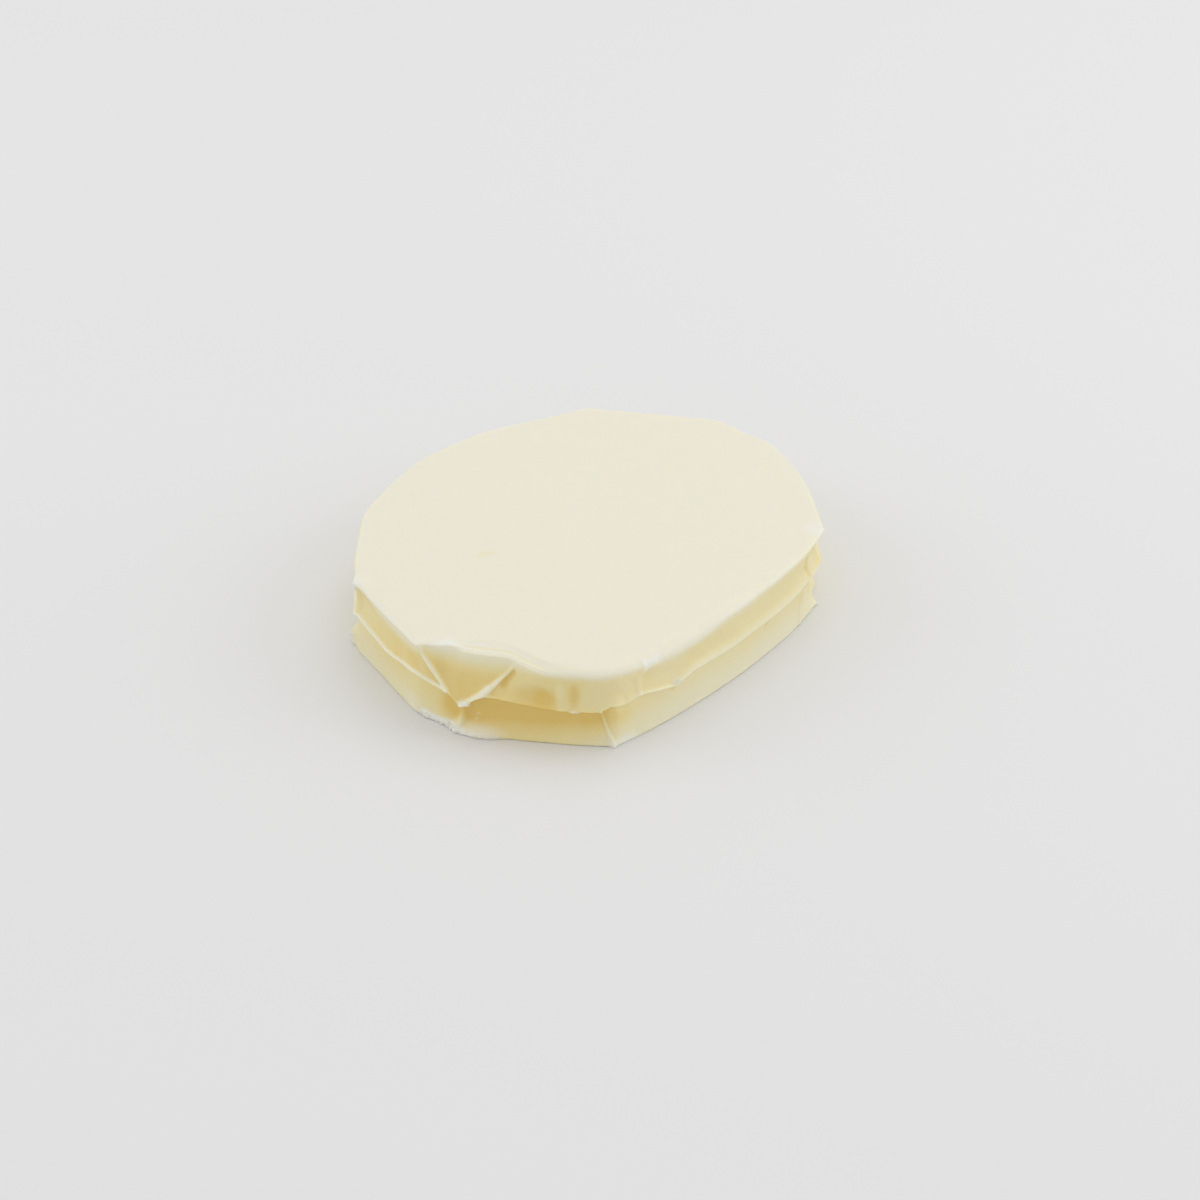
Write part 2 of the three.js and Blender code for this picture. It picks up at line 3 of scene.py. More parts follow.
import bpy
import numpy as np
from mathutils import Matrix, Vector


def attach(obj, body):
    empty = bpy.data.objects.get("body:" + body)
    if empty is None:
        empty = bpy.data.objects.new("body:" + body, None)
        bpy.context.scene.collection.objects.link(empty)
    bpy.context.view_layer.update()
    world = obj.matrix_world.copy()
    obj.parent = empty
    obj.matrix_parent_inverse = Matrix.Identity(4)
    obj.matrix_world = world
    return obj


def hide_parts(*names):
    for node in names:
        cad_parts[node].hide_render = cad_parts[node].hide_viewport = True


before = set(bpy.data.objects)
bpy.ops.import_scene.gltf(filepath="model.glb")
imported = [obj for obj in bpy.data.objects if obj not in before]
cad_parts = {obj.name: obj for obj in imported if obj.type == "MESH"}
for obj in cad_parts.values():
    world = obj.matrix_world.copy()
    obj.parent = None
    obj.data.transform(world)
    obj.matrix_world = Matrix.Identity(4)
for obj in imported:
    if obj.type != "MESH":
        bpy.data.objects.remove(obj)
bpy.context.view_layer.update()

MM = 0.001

# ---- shape ----

THICKNESS = 22

# Corners, counterclockwise from above: x, y, how far the side that follows bows out, and how
# far along the outline the rounding of the corner reaches, below the seam and above it.
CORNERS = np.array(
    [
        (35.4, -53.5, 0.1, 1.0, 1.0),
        (51.4, -39.4, 0.9, 3.0, 3.0),
        (66.2, -18.6, 0.0, 2.0, 2.0),
        (68.5, 0.2, 0.0, 1.5, 1.5),
        (53.2, 35.2, -0.4, 0.8, 0.8),
        (28.1, 50.0, 0.4, 3.0, 3.0),
        (4.4, 56.4, 0.9, 2.5, 2.5),
        (-27.6, 51.5, 0.6, 1.0, 1.0),
        (-54.5, 33.0, 0.0, 1.0, 1.0),
        (-67.7, 3.1, 0.2, 1.5, 1.5),
        (-68.0, -9.9, 1.3, 1.5, 3.0),
        (-51.0, -46.1, 0.2, 0.8, 7.0),
        (-31.3, -51.4, 0.9, 4.0, 4.0),
        (10.5, -56.0, 1.0, 5.0, 5.0),
    ]
)
CORNER_PLACES = CORNERS[:, :2]
BOWS = CORNERS[:, 2]
LOW_ROUNDING = CORNERS[:, 3]
HIGH_ROUNDING = CORNERS[:, 4]
# The outline at a place is the mean of this many points of the sharp one.
ROUNDING_SAMPLES = 9
# How far above the seam the upper rounding is reached.
ROUNDING_RISE = 3
# An offset from the outline follows a smoothed normal, so that it never folds at a corner.
NORMAL_REACH = 7

# The height of the seam, by station. The hollows above and below it start from its mean over a
# stretch this far to either side.
SEAM_BASE_REACH = 3
SEAM = [
    (0.0, 12.1),
    (2.5, 10.8),
    (4.0, 11.6),
    (5.6, 10.7),
    (7.0, 11.8),
    (7.98, 11.2),
    (8.06, 12.0),
    (8.32, 11.1),
    (8.54, 10.7),
    (8.7, 11.3),
    (8.86, 12.3),
    (9.02, 13.0),
    (9.4, 12.3),
    (9.8, 11.5),
    (10.01, 8.8),
    (10.085, 9.1),
    (10.1, 10.5),
    (10.13, 11.4),
    (10.18, 12.1),
    (10.26, 12.1),
    (10.65, 10.4),
    (10.9, 10.5),
    (10.97, 12.5),
    (11.06, 12.3),
    (11.14, 11.8),
    (11.25, 12.5),
    (11.37, 12.7),
    (11.86, 10.4),
    (11.93, 9.9),
    (12.13, 11.6),
    (12.46, 11.0),
    (13.15, 11.3),
    (13.55, 12.2),
]
# The wall by station: how far the seam stands out, how far above it the wall flares, how deep
# it is undercut and how far below the seam that is, and how hollow the wall is above and
# below it.
WALL = [
    (0.0, 0.1, 1.6, 0.4, 0.8, 2.0, 3.0),
    (0.5, 0.4, 1.6, 0.4, 0.7, 1.6, 2.6),
    (1.5, 0.4, 1.4, 0.6, 0.5, 1.0, 0.7),
    (4.0, 0.5, 1.6, 0.6, 0.5, 1.2, 0.9),
    (6.0, 0.4, 1.2, 0.6, 0.5, 1.1, 0.8),
    (7.8, 0.5, 0.9, 0.3, 0.5, 1.3, 0.6),
    (8.0, 0.7, 0.9, 0.2, 0.5, 1.3, 0.3),
    (8.4, 0.8, 0.9, 0.3, 0.5, 1.0, 0.3),
    (8.8, 0.8, 0.9, 0.3, 0.5, 0.6, 0.3),
    (9.6, 0.8, 0.9, 0.3, 0.5, 0.5, 0.3),
    (9.8, 0.6, 0.9, 0.6, 0.5, 0.4, 0.4),
    (9.9, 0.2, 0.8, 0.8, 0.4, 0.3, 0.5),
    (9.99, 0.4, 0.8, 1.0, 0.4, 0.3, 0.5),
    (10.06, 0.7, 1.0, 1.3, 0.4, 0.4, 0.7),
    (10.14, 0.5, 0.9, 1.3, 0.4, 0.6, 0.7),
    (10.25, 0.2, 0.8, 1.1, 0.5, 1.0, 0.7),
    (10.85, 0.2, 0.8, 1.1, 0.5, 0.7, 0.7),
    (11.1, 0.3, 1.6, 0.4, 0.6, 0.3, 0.2),
    (11.4, 0.4, 1.2, 0.4, 0.4, 0.7, 0.3),
    (11.85, 0.5, 1.0, 0.4, 0.4, 0.9, 0.3),
    (12.1, 0.5, 2.4, 0.4, 0.7, 1.0, 0.3),
    (12.6, 0.5, 3.0, 0.5, 0.7, 0.6, 0.2),
    (13.4, 0.5, 3.0, 0.5, 0.7, 0.8, 0.7),
    (13.8, 0.4, 1.8, 0.4, 0.6, 1.8, 2.0),
]
HOLLOW_POWER = 1.1

# The top edge by station: how far in the wall's crest lies, its height, how far in the brow
# of the flat top lies, how much of a shelf there is between the two, and the power of the
# height by which the wall leans in to its crest.
EDGE = [
    (0.0, -0.1, 21.0, 1.0, 0.0, 3.0),
    (0.3, -0.3, 20.9, 1.1, 0.0, 3.0),
    (1.9, 0.0, 20.9, 1.1, 0.0, 3.0),
    (2.6, -0.3, 21.2, 0.6, 0.0, 3.0),
    (7.7, 0.0, 21.2, 0.6, 0.0, 3.0),
    (7.9, 0.2, 20.8, 1.0, 0.0, 3.0),
    (8.0, -0.3, 20.6, 0.9, 0.0, 3.0),
    (8.1, 0.1, 20.7, 1.3, 0.0, 3.0),
    (8.5, 0.5, 20.8, 1.7, 0.0, 2.0),
    (8.9, 1.0, 21.0, 2.3, 0.0, 1.2),
    (9.05, 1.4, 21.2, 2.8, 0.0, 0.8),
    (9.2, 2.1, 21.3, 3.6, 0.0, 0.7),
    (9.4, 3.3, 21.3, 5.3, 0.0, 0.8),
    (9.6, 4.8, 21.4, 7.3, 0.1, 1.0),
    (9.8, 5.1, 21.2, 8.8, 0.4, 1.1),
    (10.0, 4.8, 21.0, 9.8, 0.9, 1.15),
    (10.12, 4.9, 21.0, 10.5, 1.0, 1.25),
    (10.3, 5.2, 21.0, 9.7, 1.0, 1.35),
    (10.4, 3.3, 20.7, 8.2, 0.9, 1.5),
    (10.5, 1.5, 20.3, 6.1, 0.75, 1.8),
    (10.57, 0.9, 20.0, 4.9, 0.5, 2.0),
    (10.64, 0.7, 19.9, 4.4, 0.15, 2.0),
    (10.7, 0.6, 19.9, 4.0, 0.0, 2.0),
    (11.3, 0.6, 19.8, 3.6, 0.0, 2.0),
    (11.5, 0.5, 19.2, 3.4, 0.0, 2.0),
    (11.6, 0.4, 18.8, 3.4, 0.0, 2.0),
    (12.2, 0.5, 18.5, 3.7, 0.0, 2.0),
    (12.4, 0.5, 19.7, 3.3, 0.0, 2.0),
    (12.6, 0.4, 20.0, 3.1, 0.0, 2.0),
    (12.9, 0.3, 20.4, 2.5, 0.0, 2.0),
    (13.6, 0.1, 20.9, 1.5, 0.0, 3.0),
]
# The shelf is a bead, a groove and the step up to the brow. The bead takes this share of the
# rise. How far the bead goes and where the step lies are shares of the way in.
SHELF_GROOVE = 0.25
SHELF_GROOVE_AT = 0.4
SHELF_GROOVE_WIDTH = 0.2
SHELF_BEAD = 0.5
SHELF_BEAD_LENGTH = 0.3
SHELF_STEP_AT = 0.55
SHELF_STEP_LENGTH = 0.4
# The scoop's face leaves the wall along a slanted fold. FOLD_FROM is the station and height
# where the fold meets the top, and it falls by FOLD_FALL for each millimetre along the wall.
# The face leans in by SCOOP_LEAN for each millimetre up, and blends into the wall. It isn't
# looked for further back than SCOOP_REACH from the corner after the fold's.
FOLD_FROM = (9.0, 22.3)
FOLD_FALL = 1.0
SCOOP_LEAN = 0.85
SCOOP_BLEND = 4.0
SCOOP_LEAST_BLEND = 0.01
SCOOP_REACH = 40
# The round at the foot of the wall, and how far the wall spreads just above it.
BOTTOM_ROUND = 0.6
BOTTOM_FLARE = 0.5
BOTTOM_FLARE_HEIGHT = 2.0

# Ridges, and grooves where they stand out by less than nothing: each is a path of points with
# a station, a z, how far it stands out there and its half width.
CREASES = [
    (
        (9.08, 21.2, 0.3, 0.6),
        (9.23, 18.7, 0.7, 0.8),
        (9.38, 16.6, 0.9, 1.0),
        (9.78, 11.6, 0.5, 0.8),
    ),
    ((10.03, 8.9, 0.5, 0.8), (10.07, 9.4, 0.6, 1.2), (10.08, 10.2, 0.5, 0.8)),
    ((10.04, 8.6, 0.7, 1.2), (10.02, 3.7, 0.9, 1.5), (9.95, 0.8, 0.5, 1.8)),
    (
        (10.08, 10.2, 0.6, 0.9),
        (10.14, 11.9, 0.9, 1.0),
        (10.2, 13.7, 1.0, 1.2),
        (10.26, 15.8, 0.8, 0.9),
        (10.32, 18.0, 0.5, 0.7),
        (10.36, 20.0, 0.2, 0.6),
    ),
    ((10.29, 15.0, -0.4, 1.1), (10.35, 18.0, -0.4, 1.1)),
    ((10.91, 10.4, 0.6, 0.6), (10.94, 6.0, 0.7, 0.6), (10.99, 0.4, 0.8, 0.9)),
    ((11.37, 12.6, 0.3, 1.2), (11.38, 17.0, 0.4, 1.8), (11.46, 18.6, 0.3, 1.4)),
    ((12.84, 7.6, -0.3, 0.7), (12.88, 10.4, -0.3, 0.7)),
    ((13.7, 19.4, -0.6, 0.7), (13.59, 17.0, -0.7, 0.8), (13.6, 9.4, -0.6, 0.8)),
    ((13.66, 17.6, 0.5, 1.0), (13.66, 12.4, 0.4, 0.9)),
    ((13.54, 8.6, 0.4, 0.7), (13.42, 0.8, 0.5, 0.9)),
    ((0.02, 21.0, 0.3, 1.0), (13.97, 12.0, 0.3, 1.0), (13.84, 0.8, 0.6, 1.0)),
]
# Dimples, and knobs where depth is less than nothing: (station, z), half sizes and depth.
DIMPLES = [
    ((10.5, 14.0), (6.5, 3.2), 1.0),
    ((10.745, 14.2), (2.2, 4.8), 0.7),
    ((10.65, 14.5), (1.6, 5.5), -0.4),
    ((10.74, 10.2), (1.6, 0.8), -0.7),
    ((11.93, 9.0), (1.4, 1.2), 0.5),
    ((11.96, 11.0), (1.6, 1.2), -0.4),
    ((11.12, 11.0), (2.6, 1.3), 0.4),
    ((10.14, 0.0), (9.0, 5.0), -1.6),
    ((7.86, 2.4), (4.5, 4.6), -2.1),
    ((8.0, 16.0), (2.6, 6.0), -0.8),
    ((0.03, 0.0), (5.5, 4.6), 1.6),
    ((13.83, 0.0), (2.4, 3.0), -0.3),
]
# Each far corner has a pleat from top to foot, thickest at the seam, and a shorter one beyond
# it that runs up or down from the seam. They are this thick and wide.
FAR_CORNERS = (1, 2, 3, 4, 5, 6, 7)
FAR_PLEAT_TOP = 20.5
FAR_PLEAT_FOOT = 0.8
FAR_PLEAT_OUT = (0.4, 1.0)
FAR_PLEAT_WIDTH = 1.4
FAR_PLEAT_END = (0.2, 0.8)
# How far along the wall the pleat may stray, and where the shorter one stands and ends.
FAR_PLEAT_LEAN = 3.0
FAR_SECOND_AT = (4.0, 9.0)
FAR_SECOND_UP = (14, 19)
FAR_SECOND_DOWN = (2, 6)
# The share of the shorter ones that run down, and the share of the way from the pleat to the
# shorter one at which it meets the seam.
FAR_SECOND_DOWN_SHARE = 0.4
FAR_SECOND_MEETS = 0.3
# What is added to a corner's number to draw each of its values by chance.
FAR_SEEDS = {"knee": 0, "end": 20, "second": 30, "foot": 40, "way": 50, "out": 60}

# Stretches where cheese has torn away: the stations from and to, the length of a tooth and
# how deep the teeth are.
TOP_FRAY = {"first": 2.02, "last": 2.98, "tooth": 2.6, "depth": 0.8}
BOTTOM_FRAY = {"first": 8.98, "last": 10.0, "tooth": 1.7, "depth": 0.7}
# The teeth of the foot reach up to a height, and those of the top start at this share of the
# crest's height.
BOTTOM_FRAY_HEIGHT = 2.2
TOP_FRAY_START = 0.8
# The top's broad waves: their height, their length, and how far they are shifted in x and y.
UNEVEN_HEIGHT = 0.12
UNEVEN_LENGTH = 19
UNEVEN_SHIFT = (1, -0.5)

# A shallow yellowish dent in the top: its middle, half length and half width, turn and depth.
MARK_AT = (-25.7, 12.4)
MARK_SIZE = (4.2, 1.3)
MARK_TURN = math.radians(-29)
MARK_DEPTH = 0.12

# What makes a number look drawn by chance: its step, shift and scale.
CHANCE_MIX = (12.9898, 4.1, 43758.5453)
# How far apart two neighbouring cells of a ripple lie for the draw, along the wall and up it,
# and what keeps the cells' numbers above nothing.
RIPPLE_STEPS = (1.37, 7.77)
RIPPLE_LIFT = 50

COUNT = len(CORNERS)
SIDES = np.roll(CORNER_PLACES, -1, axis=0) - CORNER_PLACES
SIDE_LENGTHS = np.hypot(SIDES[:, 0], SIDES[:, 1])
STARTS = np.concatenate([[0], np.cumsum(SIDE_LENGTHS)])
AROUND = STARTS[-1]


def clamp(x):
    return np.clip(x, 0, 1)


def ease(x):
    return clamp(x) ** 2 * (3 - 2 * clamp(x))


def mix(a, b, t):
    return a + (b - a) * t


def swell(x):
    """A smooth hump from -1 to 1 that is 1 high."""
    return np.where(np.abs(x) < 1, (1 - x * x) ** 2, 0)


def hollow_shape(t):
    """How deep a hollow is at a share of its height."""
    return np.sin(np.pi * clamp(t)) ** HOLLOW_POWER


def chance(n):
    """A number from 0 to 1 that is always the same for the same n."""
    step, shift, scale = CHANCE_MIX
    x = np.sin(n * step + shift) * scale
    return x - np.floor(x)


def ripple(distance, z, length, height, seed):
    """Smooth noise from -1 to 1 on the unrolled wall, which closes on itself all round."""
    cells = round(AROUND / length)
    u = np.mod(distance, AROUND) / AROUND * cells
    v = z / height + RIPPLE_LIFT
    u, v = np.broadcast_arrays(u, v)
    i, j = np.floor(u), np.floor(v)
    s, t = ease(u - i), ease(v - j)
    along, up = RIPPLE_STEPS
    corner = [
        [chance(np.mod(i + a, cells) * along + (j + b) * up + seed) for b in (0, 1)]
        for a in (0, 1)
    ]
    low = mix(corner[0][0], corner[1][0], s)
    high = mix(corner[0][1], corner[1][1], s)
    return 2 * mix(low, high, t) - 1


def distance_at(station):
    return np.interp(station, np.arange(COUNT + 1), STARTS)


def station_at(distance):
    return np.interp(np.mod(distance, AROUND), STARTS, np.arange(COUNT + 1))


def gap(distance, origin):
    """The shortest way along the outline, with its sign."""
    return np.mod(distance - origin + AROUND / 2, AROUND) - AROUND / 2


def smooth_table(rows, station):
    """The columns of a table at stations, on curves that never overshoot its rows."""
    rows = np.array(rows)
    lap = np.zeros(rows.shape[1])
    lap[0] = COUNT
    rows = np.concatenate([rows[-2:] - lap, rows, rows[:3] + lap])
    x = rows[:, 0]
    slope = np.diff(rows[:, 1:], axis=0) / np.diff(x)[:, None]
    product = slope[:-1] * slope[1:]
    total = np.where(product > 0, slope[:-1] + slope[1:], 1)
    tangent = np.where(product > 0, 2 * product / total, 0)
    i = np.clip(np.searchsorted(x, station, side="right") - 1, 1, len(x) - 3)
    width = (x[i + 1] - x[i])[..., None]
    t = ((station - x[i]) / (x[i + 1] - x[i]))[..., None]
    values = (
        mix(rows[i, 1:], rows[i + 1, 1:], ease(t))
        + width * tangent[i - 1] * t * (1 - t) ** 2
        - width * tangent[i] * t**2 * (1 - t)
    )
    return values.T[..., None]


def seam_height(station):
    """The seam's height at stations, with all its sudden steps."""
    rows = np.array(SEAM + [(SEAM[0][0] + COUNT, SEAM[0][1])])
    return np.interp(station, rows[:, 0], rows[:, 1])


def seam_base(distance):
    """The seam's height without its sudden steps, where the wall's lean and hollows start."""
    spread = np.linspace(-1, 1, ROUNDING_SAMPLES) * SEAM_BASE_REACH
    return np.mean([seam_height(station_at(distance + s)) for s in spread], axis=0)


def sharp_point(distance):
    """The outline from above before its corners are rounded."""
    station = station_at(distance)
    i = np.minimum(station.astype(int), COUNT - 1)
    t = (station - i)[..., None]
    normal = np.stack([SIDES[i, 1], -SIDES[i, 0]], axis=-1) / SIDE_LENGTHS[i, None]
    bow = BOWS[i, None] * 4 * t * (1 - t)
    return CORNER_PLACES[i] + SIDES[i] * t + normal * bow


def mean_point(distance, reach):
    """The mean of the sharp outline over a short stretch, which rounds its corners."""
    spread = np.linspace(-1, 1, ROUNDING_SAMPLES)
    return np.mean([sharp_point(distance + reach * s) for s in spread], axis=0)


def outline_point(distance, rounding):
    """The outline from above, with each corner rounded as far as it asks."""
    station = station_at(distance)
    i = np.minimum(station.astype(int), COUNT - 1)
    reach = mix(rounding[i], rounding[(i + 1) % COUNT], ease(station - i))
    return mean_point(distance, reach)


def outward_at(distance):
    """The way out of the wall from above."""
    half = NORMAL_REACH / 2
    along = mean_point(distance + half, NORMAL_REACH) - mean_point(distance - half, NORMAL_REACH)
    along /= np.hypot(along[:, 0], along[:, 1])[:, None]
    return np.stack([along[:, 1], -along[:, 0]], axis=-1)


def crease_out(crease, distance, z):
    """How far a crease stands out, by the distance to the nearest part of its path."""
    out = 0 * z
    for start, end in zip(crease, crease[1:]):
        station, height, rise, width = start
        next_station, next_height, next_rise, next_width = end
        dx = gap(distance_at(next_station), distance_at(station))
        dz = next_height - height
        px = gap(distance, distance_at(station))
        pz = z - height
        t = clamp((px * dx + pz * dz) / (dx * dx + dz * dz))
        away = np.hypot(px - t * dx, pz - t * dz) / mix(width, next_width, t)
        here = mix(rise, next_rise, t) * swell(away)
        out = np.where(np.abs(here) > np.abs(out), here, out)
    return out


def dimple_out(dimple, distance, z):
    """How far a dimple or knob stands out."""
    (station, height), (across, up), depth = dimple
    reach = np.hypot(gap(distance, distance_at(station)) / across, (z - height) / up)
    return -depth * swell(reach)


def far_creases():
    """Two pleats at each far corner, as creases."""
    creases = []
    for i in FAR_CORNERS:
        length, seam = SIDE_LENGTHS[i], float(seam_height(i))
        drawn = {name: chance(i + seed) for name, seed in FAR_SEEDS.items()}
        knee = i + FAR_PLEAT_LEAN * drawn["knee"] / length
        foot = i + FAR_PLEAT_LEAN * drawn["foot"] / length
        second = i + mix(*FAR_SECOND_AT, drawn["second"]) / length
        meeting = mix(knee, second, FAR_SECOND_MEETS)
        is_up = drawn["way"] > FAR_SECOND_DOWN_SHARE
        goal = mix(*(FAR_SECOND_UP if is_up else FAR_SECOND_DOWN), drawn["end"])
        at_seam = (seam, mix(*FAR_PLEAT_OUT, drawn["out"]), FAR_PLEAT_WIDTH)
        top = (i, FAR_PLEAT_TOP, *FAR_PLEAT_END)
        creases.append((top, (knee, *at_seam), (foot, FAR_PLEAT_FOOT, *FAR_PLEAT_END)))
        creases.append(((second, goal, *FAR_PLEAT_END), (meeting, *at_seam)))
    return creases


def fray_at(fray, distance):
    """How deep an edge is torn: uneven teeth, which fade out at both ends of the stretch."""
    first, tooth = fray["first"], fray["tooth"]
    start = distance_at(first)
    length = distance_at(fray["last"]) - start
    along = gap(distance, start + length / 2) + length / 2
    n = np.floor(along / tooth)
    t = along / tooth - n
    ends = ease(along / tooth) * ease((length - along) / tooth)
    return fray["depth"] * mix(chance(n + first), chance(n + 1 + first), ease(t)) * ends


ALL_CREASES = CREASES + far_creases()


def lean_in(distance, z, lean):
    """How far the wall has leant in at a height: the scoop's face, where that is less."""
    station, height = FOLD_FROM
    past = z - height + FOLD_FALL * gap(distance, distance_at(station))
    face = SCOOP_LEAN * np.maximum(past, 0)
    blend = np.clip(face, SCOOP_LEAST_BLEND, SCOOP_BLEND)
    overlap = np.maximum(1 - np.abs(face - lean) / blend, 0)
    leant = np.minimum(face, lean) - overlap**2 * blend / 4
    in_reach = gap(distance, distance_at(station + 1)) > -SCOOP_REACH
    return np.where(in_reach, leant, lean)


def relief_out(distance, z):
    """How far the seam and the creases stand out past the wall's broad form, or lie behind it."""
    station = station_at(distance[:, 0])
    seam = seam_height(station)[:, None]
    lip, flare, under, drop, _, _ = smooth_table(WALL, station)
    fall = (seam - z) / drop
    rest = (seam - z - drop) / (seam - drop)
    upper = lip * swell(clamp((z - seam) / flare))
    lower = mix(lip, -under, ease(fall)) * np.where(fall < 1, 1, 1 - ease(rest))
    out = np.where(z >= seam, upper, lower)
    for crease in ALL_CREASES:
        out += crease_out(crease, distance, z)
    return out


def wall_out(distance, z):
    """How far the wall stands out from the outline, for columns of points."""
    station = station_at(distance[:, 0])
    base = seam_base(distance[:, 0])[:, None]
    crest, crest_z, _, _, power = smooth_table(EDGE, station)
    _, _, _, _, above, below = smooth_table(WALL, station)

    t = clamp((z - base) / (crest_z - base))
    out = relief_out(distance, z) - lean_in(distance, z, crest * t**power)
    out -= above * hollow_shape(t) + below * hollow_shape(z / base)
    out += BOTTOM_FLARE * clamp(1 - z / BOTTOM_FLARE_HEIGHT) ** 2
    for dimple in DIMPLES:
        out += dimple_out(dimple, distance, z)
    out -= fray_at(BOTTOM_FRAY, distance) * clamp(1 - z / BOTTOM_FRAY_HEIGHT)
    return out


def mark_at(x, y):
    """The share of the dent in the top at a place."""
    x, y = x - MARK_AT[0], y - MARK_AT[1]
    c, s = math.cos(MARK_TURN), math.sin(MARK_TURN)
    return swell(np.hypot((c * x + s * y) / MARK_SIZE[0], (c * y - s * x) / MARK_SIZE[1]))


def top_height(x, y):
    """The height of the nearly flat top."""
    shift_x, shift_y = UNEVEN_SHIFT
    wave = np.sin(x / UNEVEN_LENGTH + shift_x) * np.cos(y / UNEVEN_LENGTH + shift_y)
    return THICKNESS - UNEVEN_HEIGHT * (1 + wave) - MARK_DEPTH * mark_at(x, y)


# ---- colour of the paste, with painted shade and highlights ----

# How yellow the wall is, by station, partly the paste's own yellow and partly painted warm bounce
# light and painted shade, which makes the front deepest: above the seam, below it, at its foot,
# how many millimetres the yellow takes to come in at the crest, and how much its ridges stand
# out pale, partly as a painted highlight.
WALL_TINT_AND_SHADE = [
    (0.0, 0.8, 0.7, 0.6, 2.0, 0.5),
    (2.0, 0.8, 0.6, 0.5, 2.0, 0.8),
    (7.5, 0.8, 0.6, 0.5, 2.0, 0.8),
    (8.1, 0.9, 0.7, 0.55, 3.0, 1.2),
    (8.3, 0.95, 0.75, 0.55, 5.5, 1.2),
    (8.5, 1.05, 0.78, 0.58, 8.0, 1.2),
    (8.75, 1.15, 0.78, 0.58, 8.0, 1.3),
    (9.0, 1.15, 0.78, 0.58, 6.0, 1.3),
    (9.2, 1.1, 0.8, 0.6, 4.0, 1.3),
    (9.4, 1.15, 0.85, 0.65, 6.0, 1.3),
    (9.7, 1.2, 0.95, 0.7, 7.5, 1.3),
    (9.84, 1.25, 1.05, 0.75, 7.5, 0.8),
    (9.98, 1.3, 1.15, 0.8, 7.5, 0.4),
    (10.02, 1.35, 1.25, 0.9, 7.5, 1.0),
    (10.2, 1.35, 1.3, 1.2, 7.5, 1.0),
    (10.3, 1.15, 1.3, 1.1, 6.0, 0.6),
    (10.45, 1.0, 1.3, 1.0, 4.0, 0.3),
    (10.7, 0.95, 1.15, 0.75, 3.0, 0.3),
    (10.85, 0.85, 1.0, 0.65, 3.0, 0.4),
    (10.92, 0.8, 0.95, 0.55, 3.0, 0.9),
    (11.05, 0.8, 0.7, 0.5, 3.0, 0.5),
    (11.5, 0.76, 0.5, 0.4, 2.4, 0.6),
    (12.0, 0.8, 0.42, 0.3, 3.6, 0.7),
    (13.0, 0.8, 0.4, 0.25, 3.6, 0.7),
    (13.7, 0.8, 0.6, 0.45, 2.6, 0.5),
]
# The wall's yellow fades out at this height over the crest, in millimetres.
TINT_OVER_CREST = 1.5
# How far up the foot's paler yellow, painted bounce light from below, reaches, and how soft the
# change at the seam is.
FOOT_TINT_HEIGHT = 8
SEAM_TINT_BLEND = 0.6
# How yellow the shelf's groove is, as painted shade, and how yellow the dent in the top and the
# underside are.
GROOVE_SHADE = 0.9
MARK_TINT = 0.6
UNDERSIDE_TINT = 0.5
# Ridges are paler and drier, partly as a painted highlight, and hollows yellower as painted shade,
# in full from these heights on.
RIDGE_FULL = 0.7
RIDGE_PALE_AND_HIGHLIGHT = 0.75
RIDGE_BLOOM_AND_HIGHLIGHT = 0.12
HOLLOW_FULL = 0.8
HOLLOW_SHADE = 0.55
# A white line runs along the top edge, a painted highlight on its rounding over a paler rim. Where
# it lies, its half width, and the way that the top's own white takes to come in are shares of the
# way from the crest to the brow.
EDGE_RIM_AND_HIGHLIGHT = 0.5
EDGE_HIGHLIGHT_AT = 0.4
EDGE_HIGHLIGHT_WIDTH = 0.5
EDGE_BLOOM_BLEND = 0.3
# How high the torn foot is white, and how sharply that ends upwards and at both sides.
TORN_BLOOM_HEIGHT = 3.0
TORN_BLOOM_TOP = 2
TORN_BLOOM_SIDES = 1.6
# Yellower patches of the wall, painted shade in dimples, grooves and hollows and on the scoop's
# dark side, and one paler one where tint is less than nothing, a painted highlight on a knob:
# (station, z), half sizes and tint.
SHADE_AND_HIGHLIGHT_PATCHES = [
    ((8.2, 19.2), (8.0, 2.0), 0.25),
    ((8.65, 17.0), (12.0, 2.6), 0.2),
    ((8.95, 15.5), (4.0, 4.0), 0.2),
    ((9.45, 15.8), (4.5, 4.5), 0.15),
    ((9.8, 5.8), (5.0, 6.0), 0.35),
    ((10.3, 15.2), (1.6, 2.8), 0.25),
    ((10.35, 17.8), (1.4, 2.6), 0.15),
    ((10.48, 12.9), (8.0, 3.4), 0.35),
    ((10.57, 12.4), (5.0, 4.2), 0.4),
    ((10.655, 14.0), (1.6, 6.5), -0.2),
    ((10.74, 14.2), (2.6, 5.4), 0.4),
    ((10.86, 8.3), (5.0, 4.0), 0.15),
    ((11.12, 8.0), (5.0, 3.5), 0.2),
    ((11.45, 16.0), (4.0, 4.0), 0.15),
    ((11.93, 9.0), (1.4, 1.3), 0.5),
    ((13.6, 9.5), (1.0, 2.0), 0.5),
]
# How sharply the yellower, paler and white patches end.
PATCH_SHARPNESS = 1.2
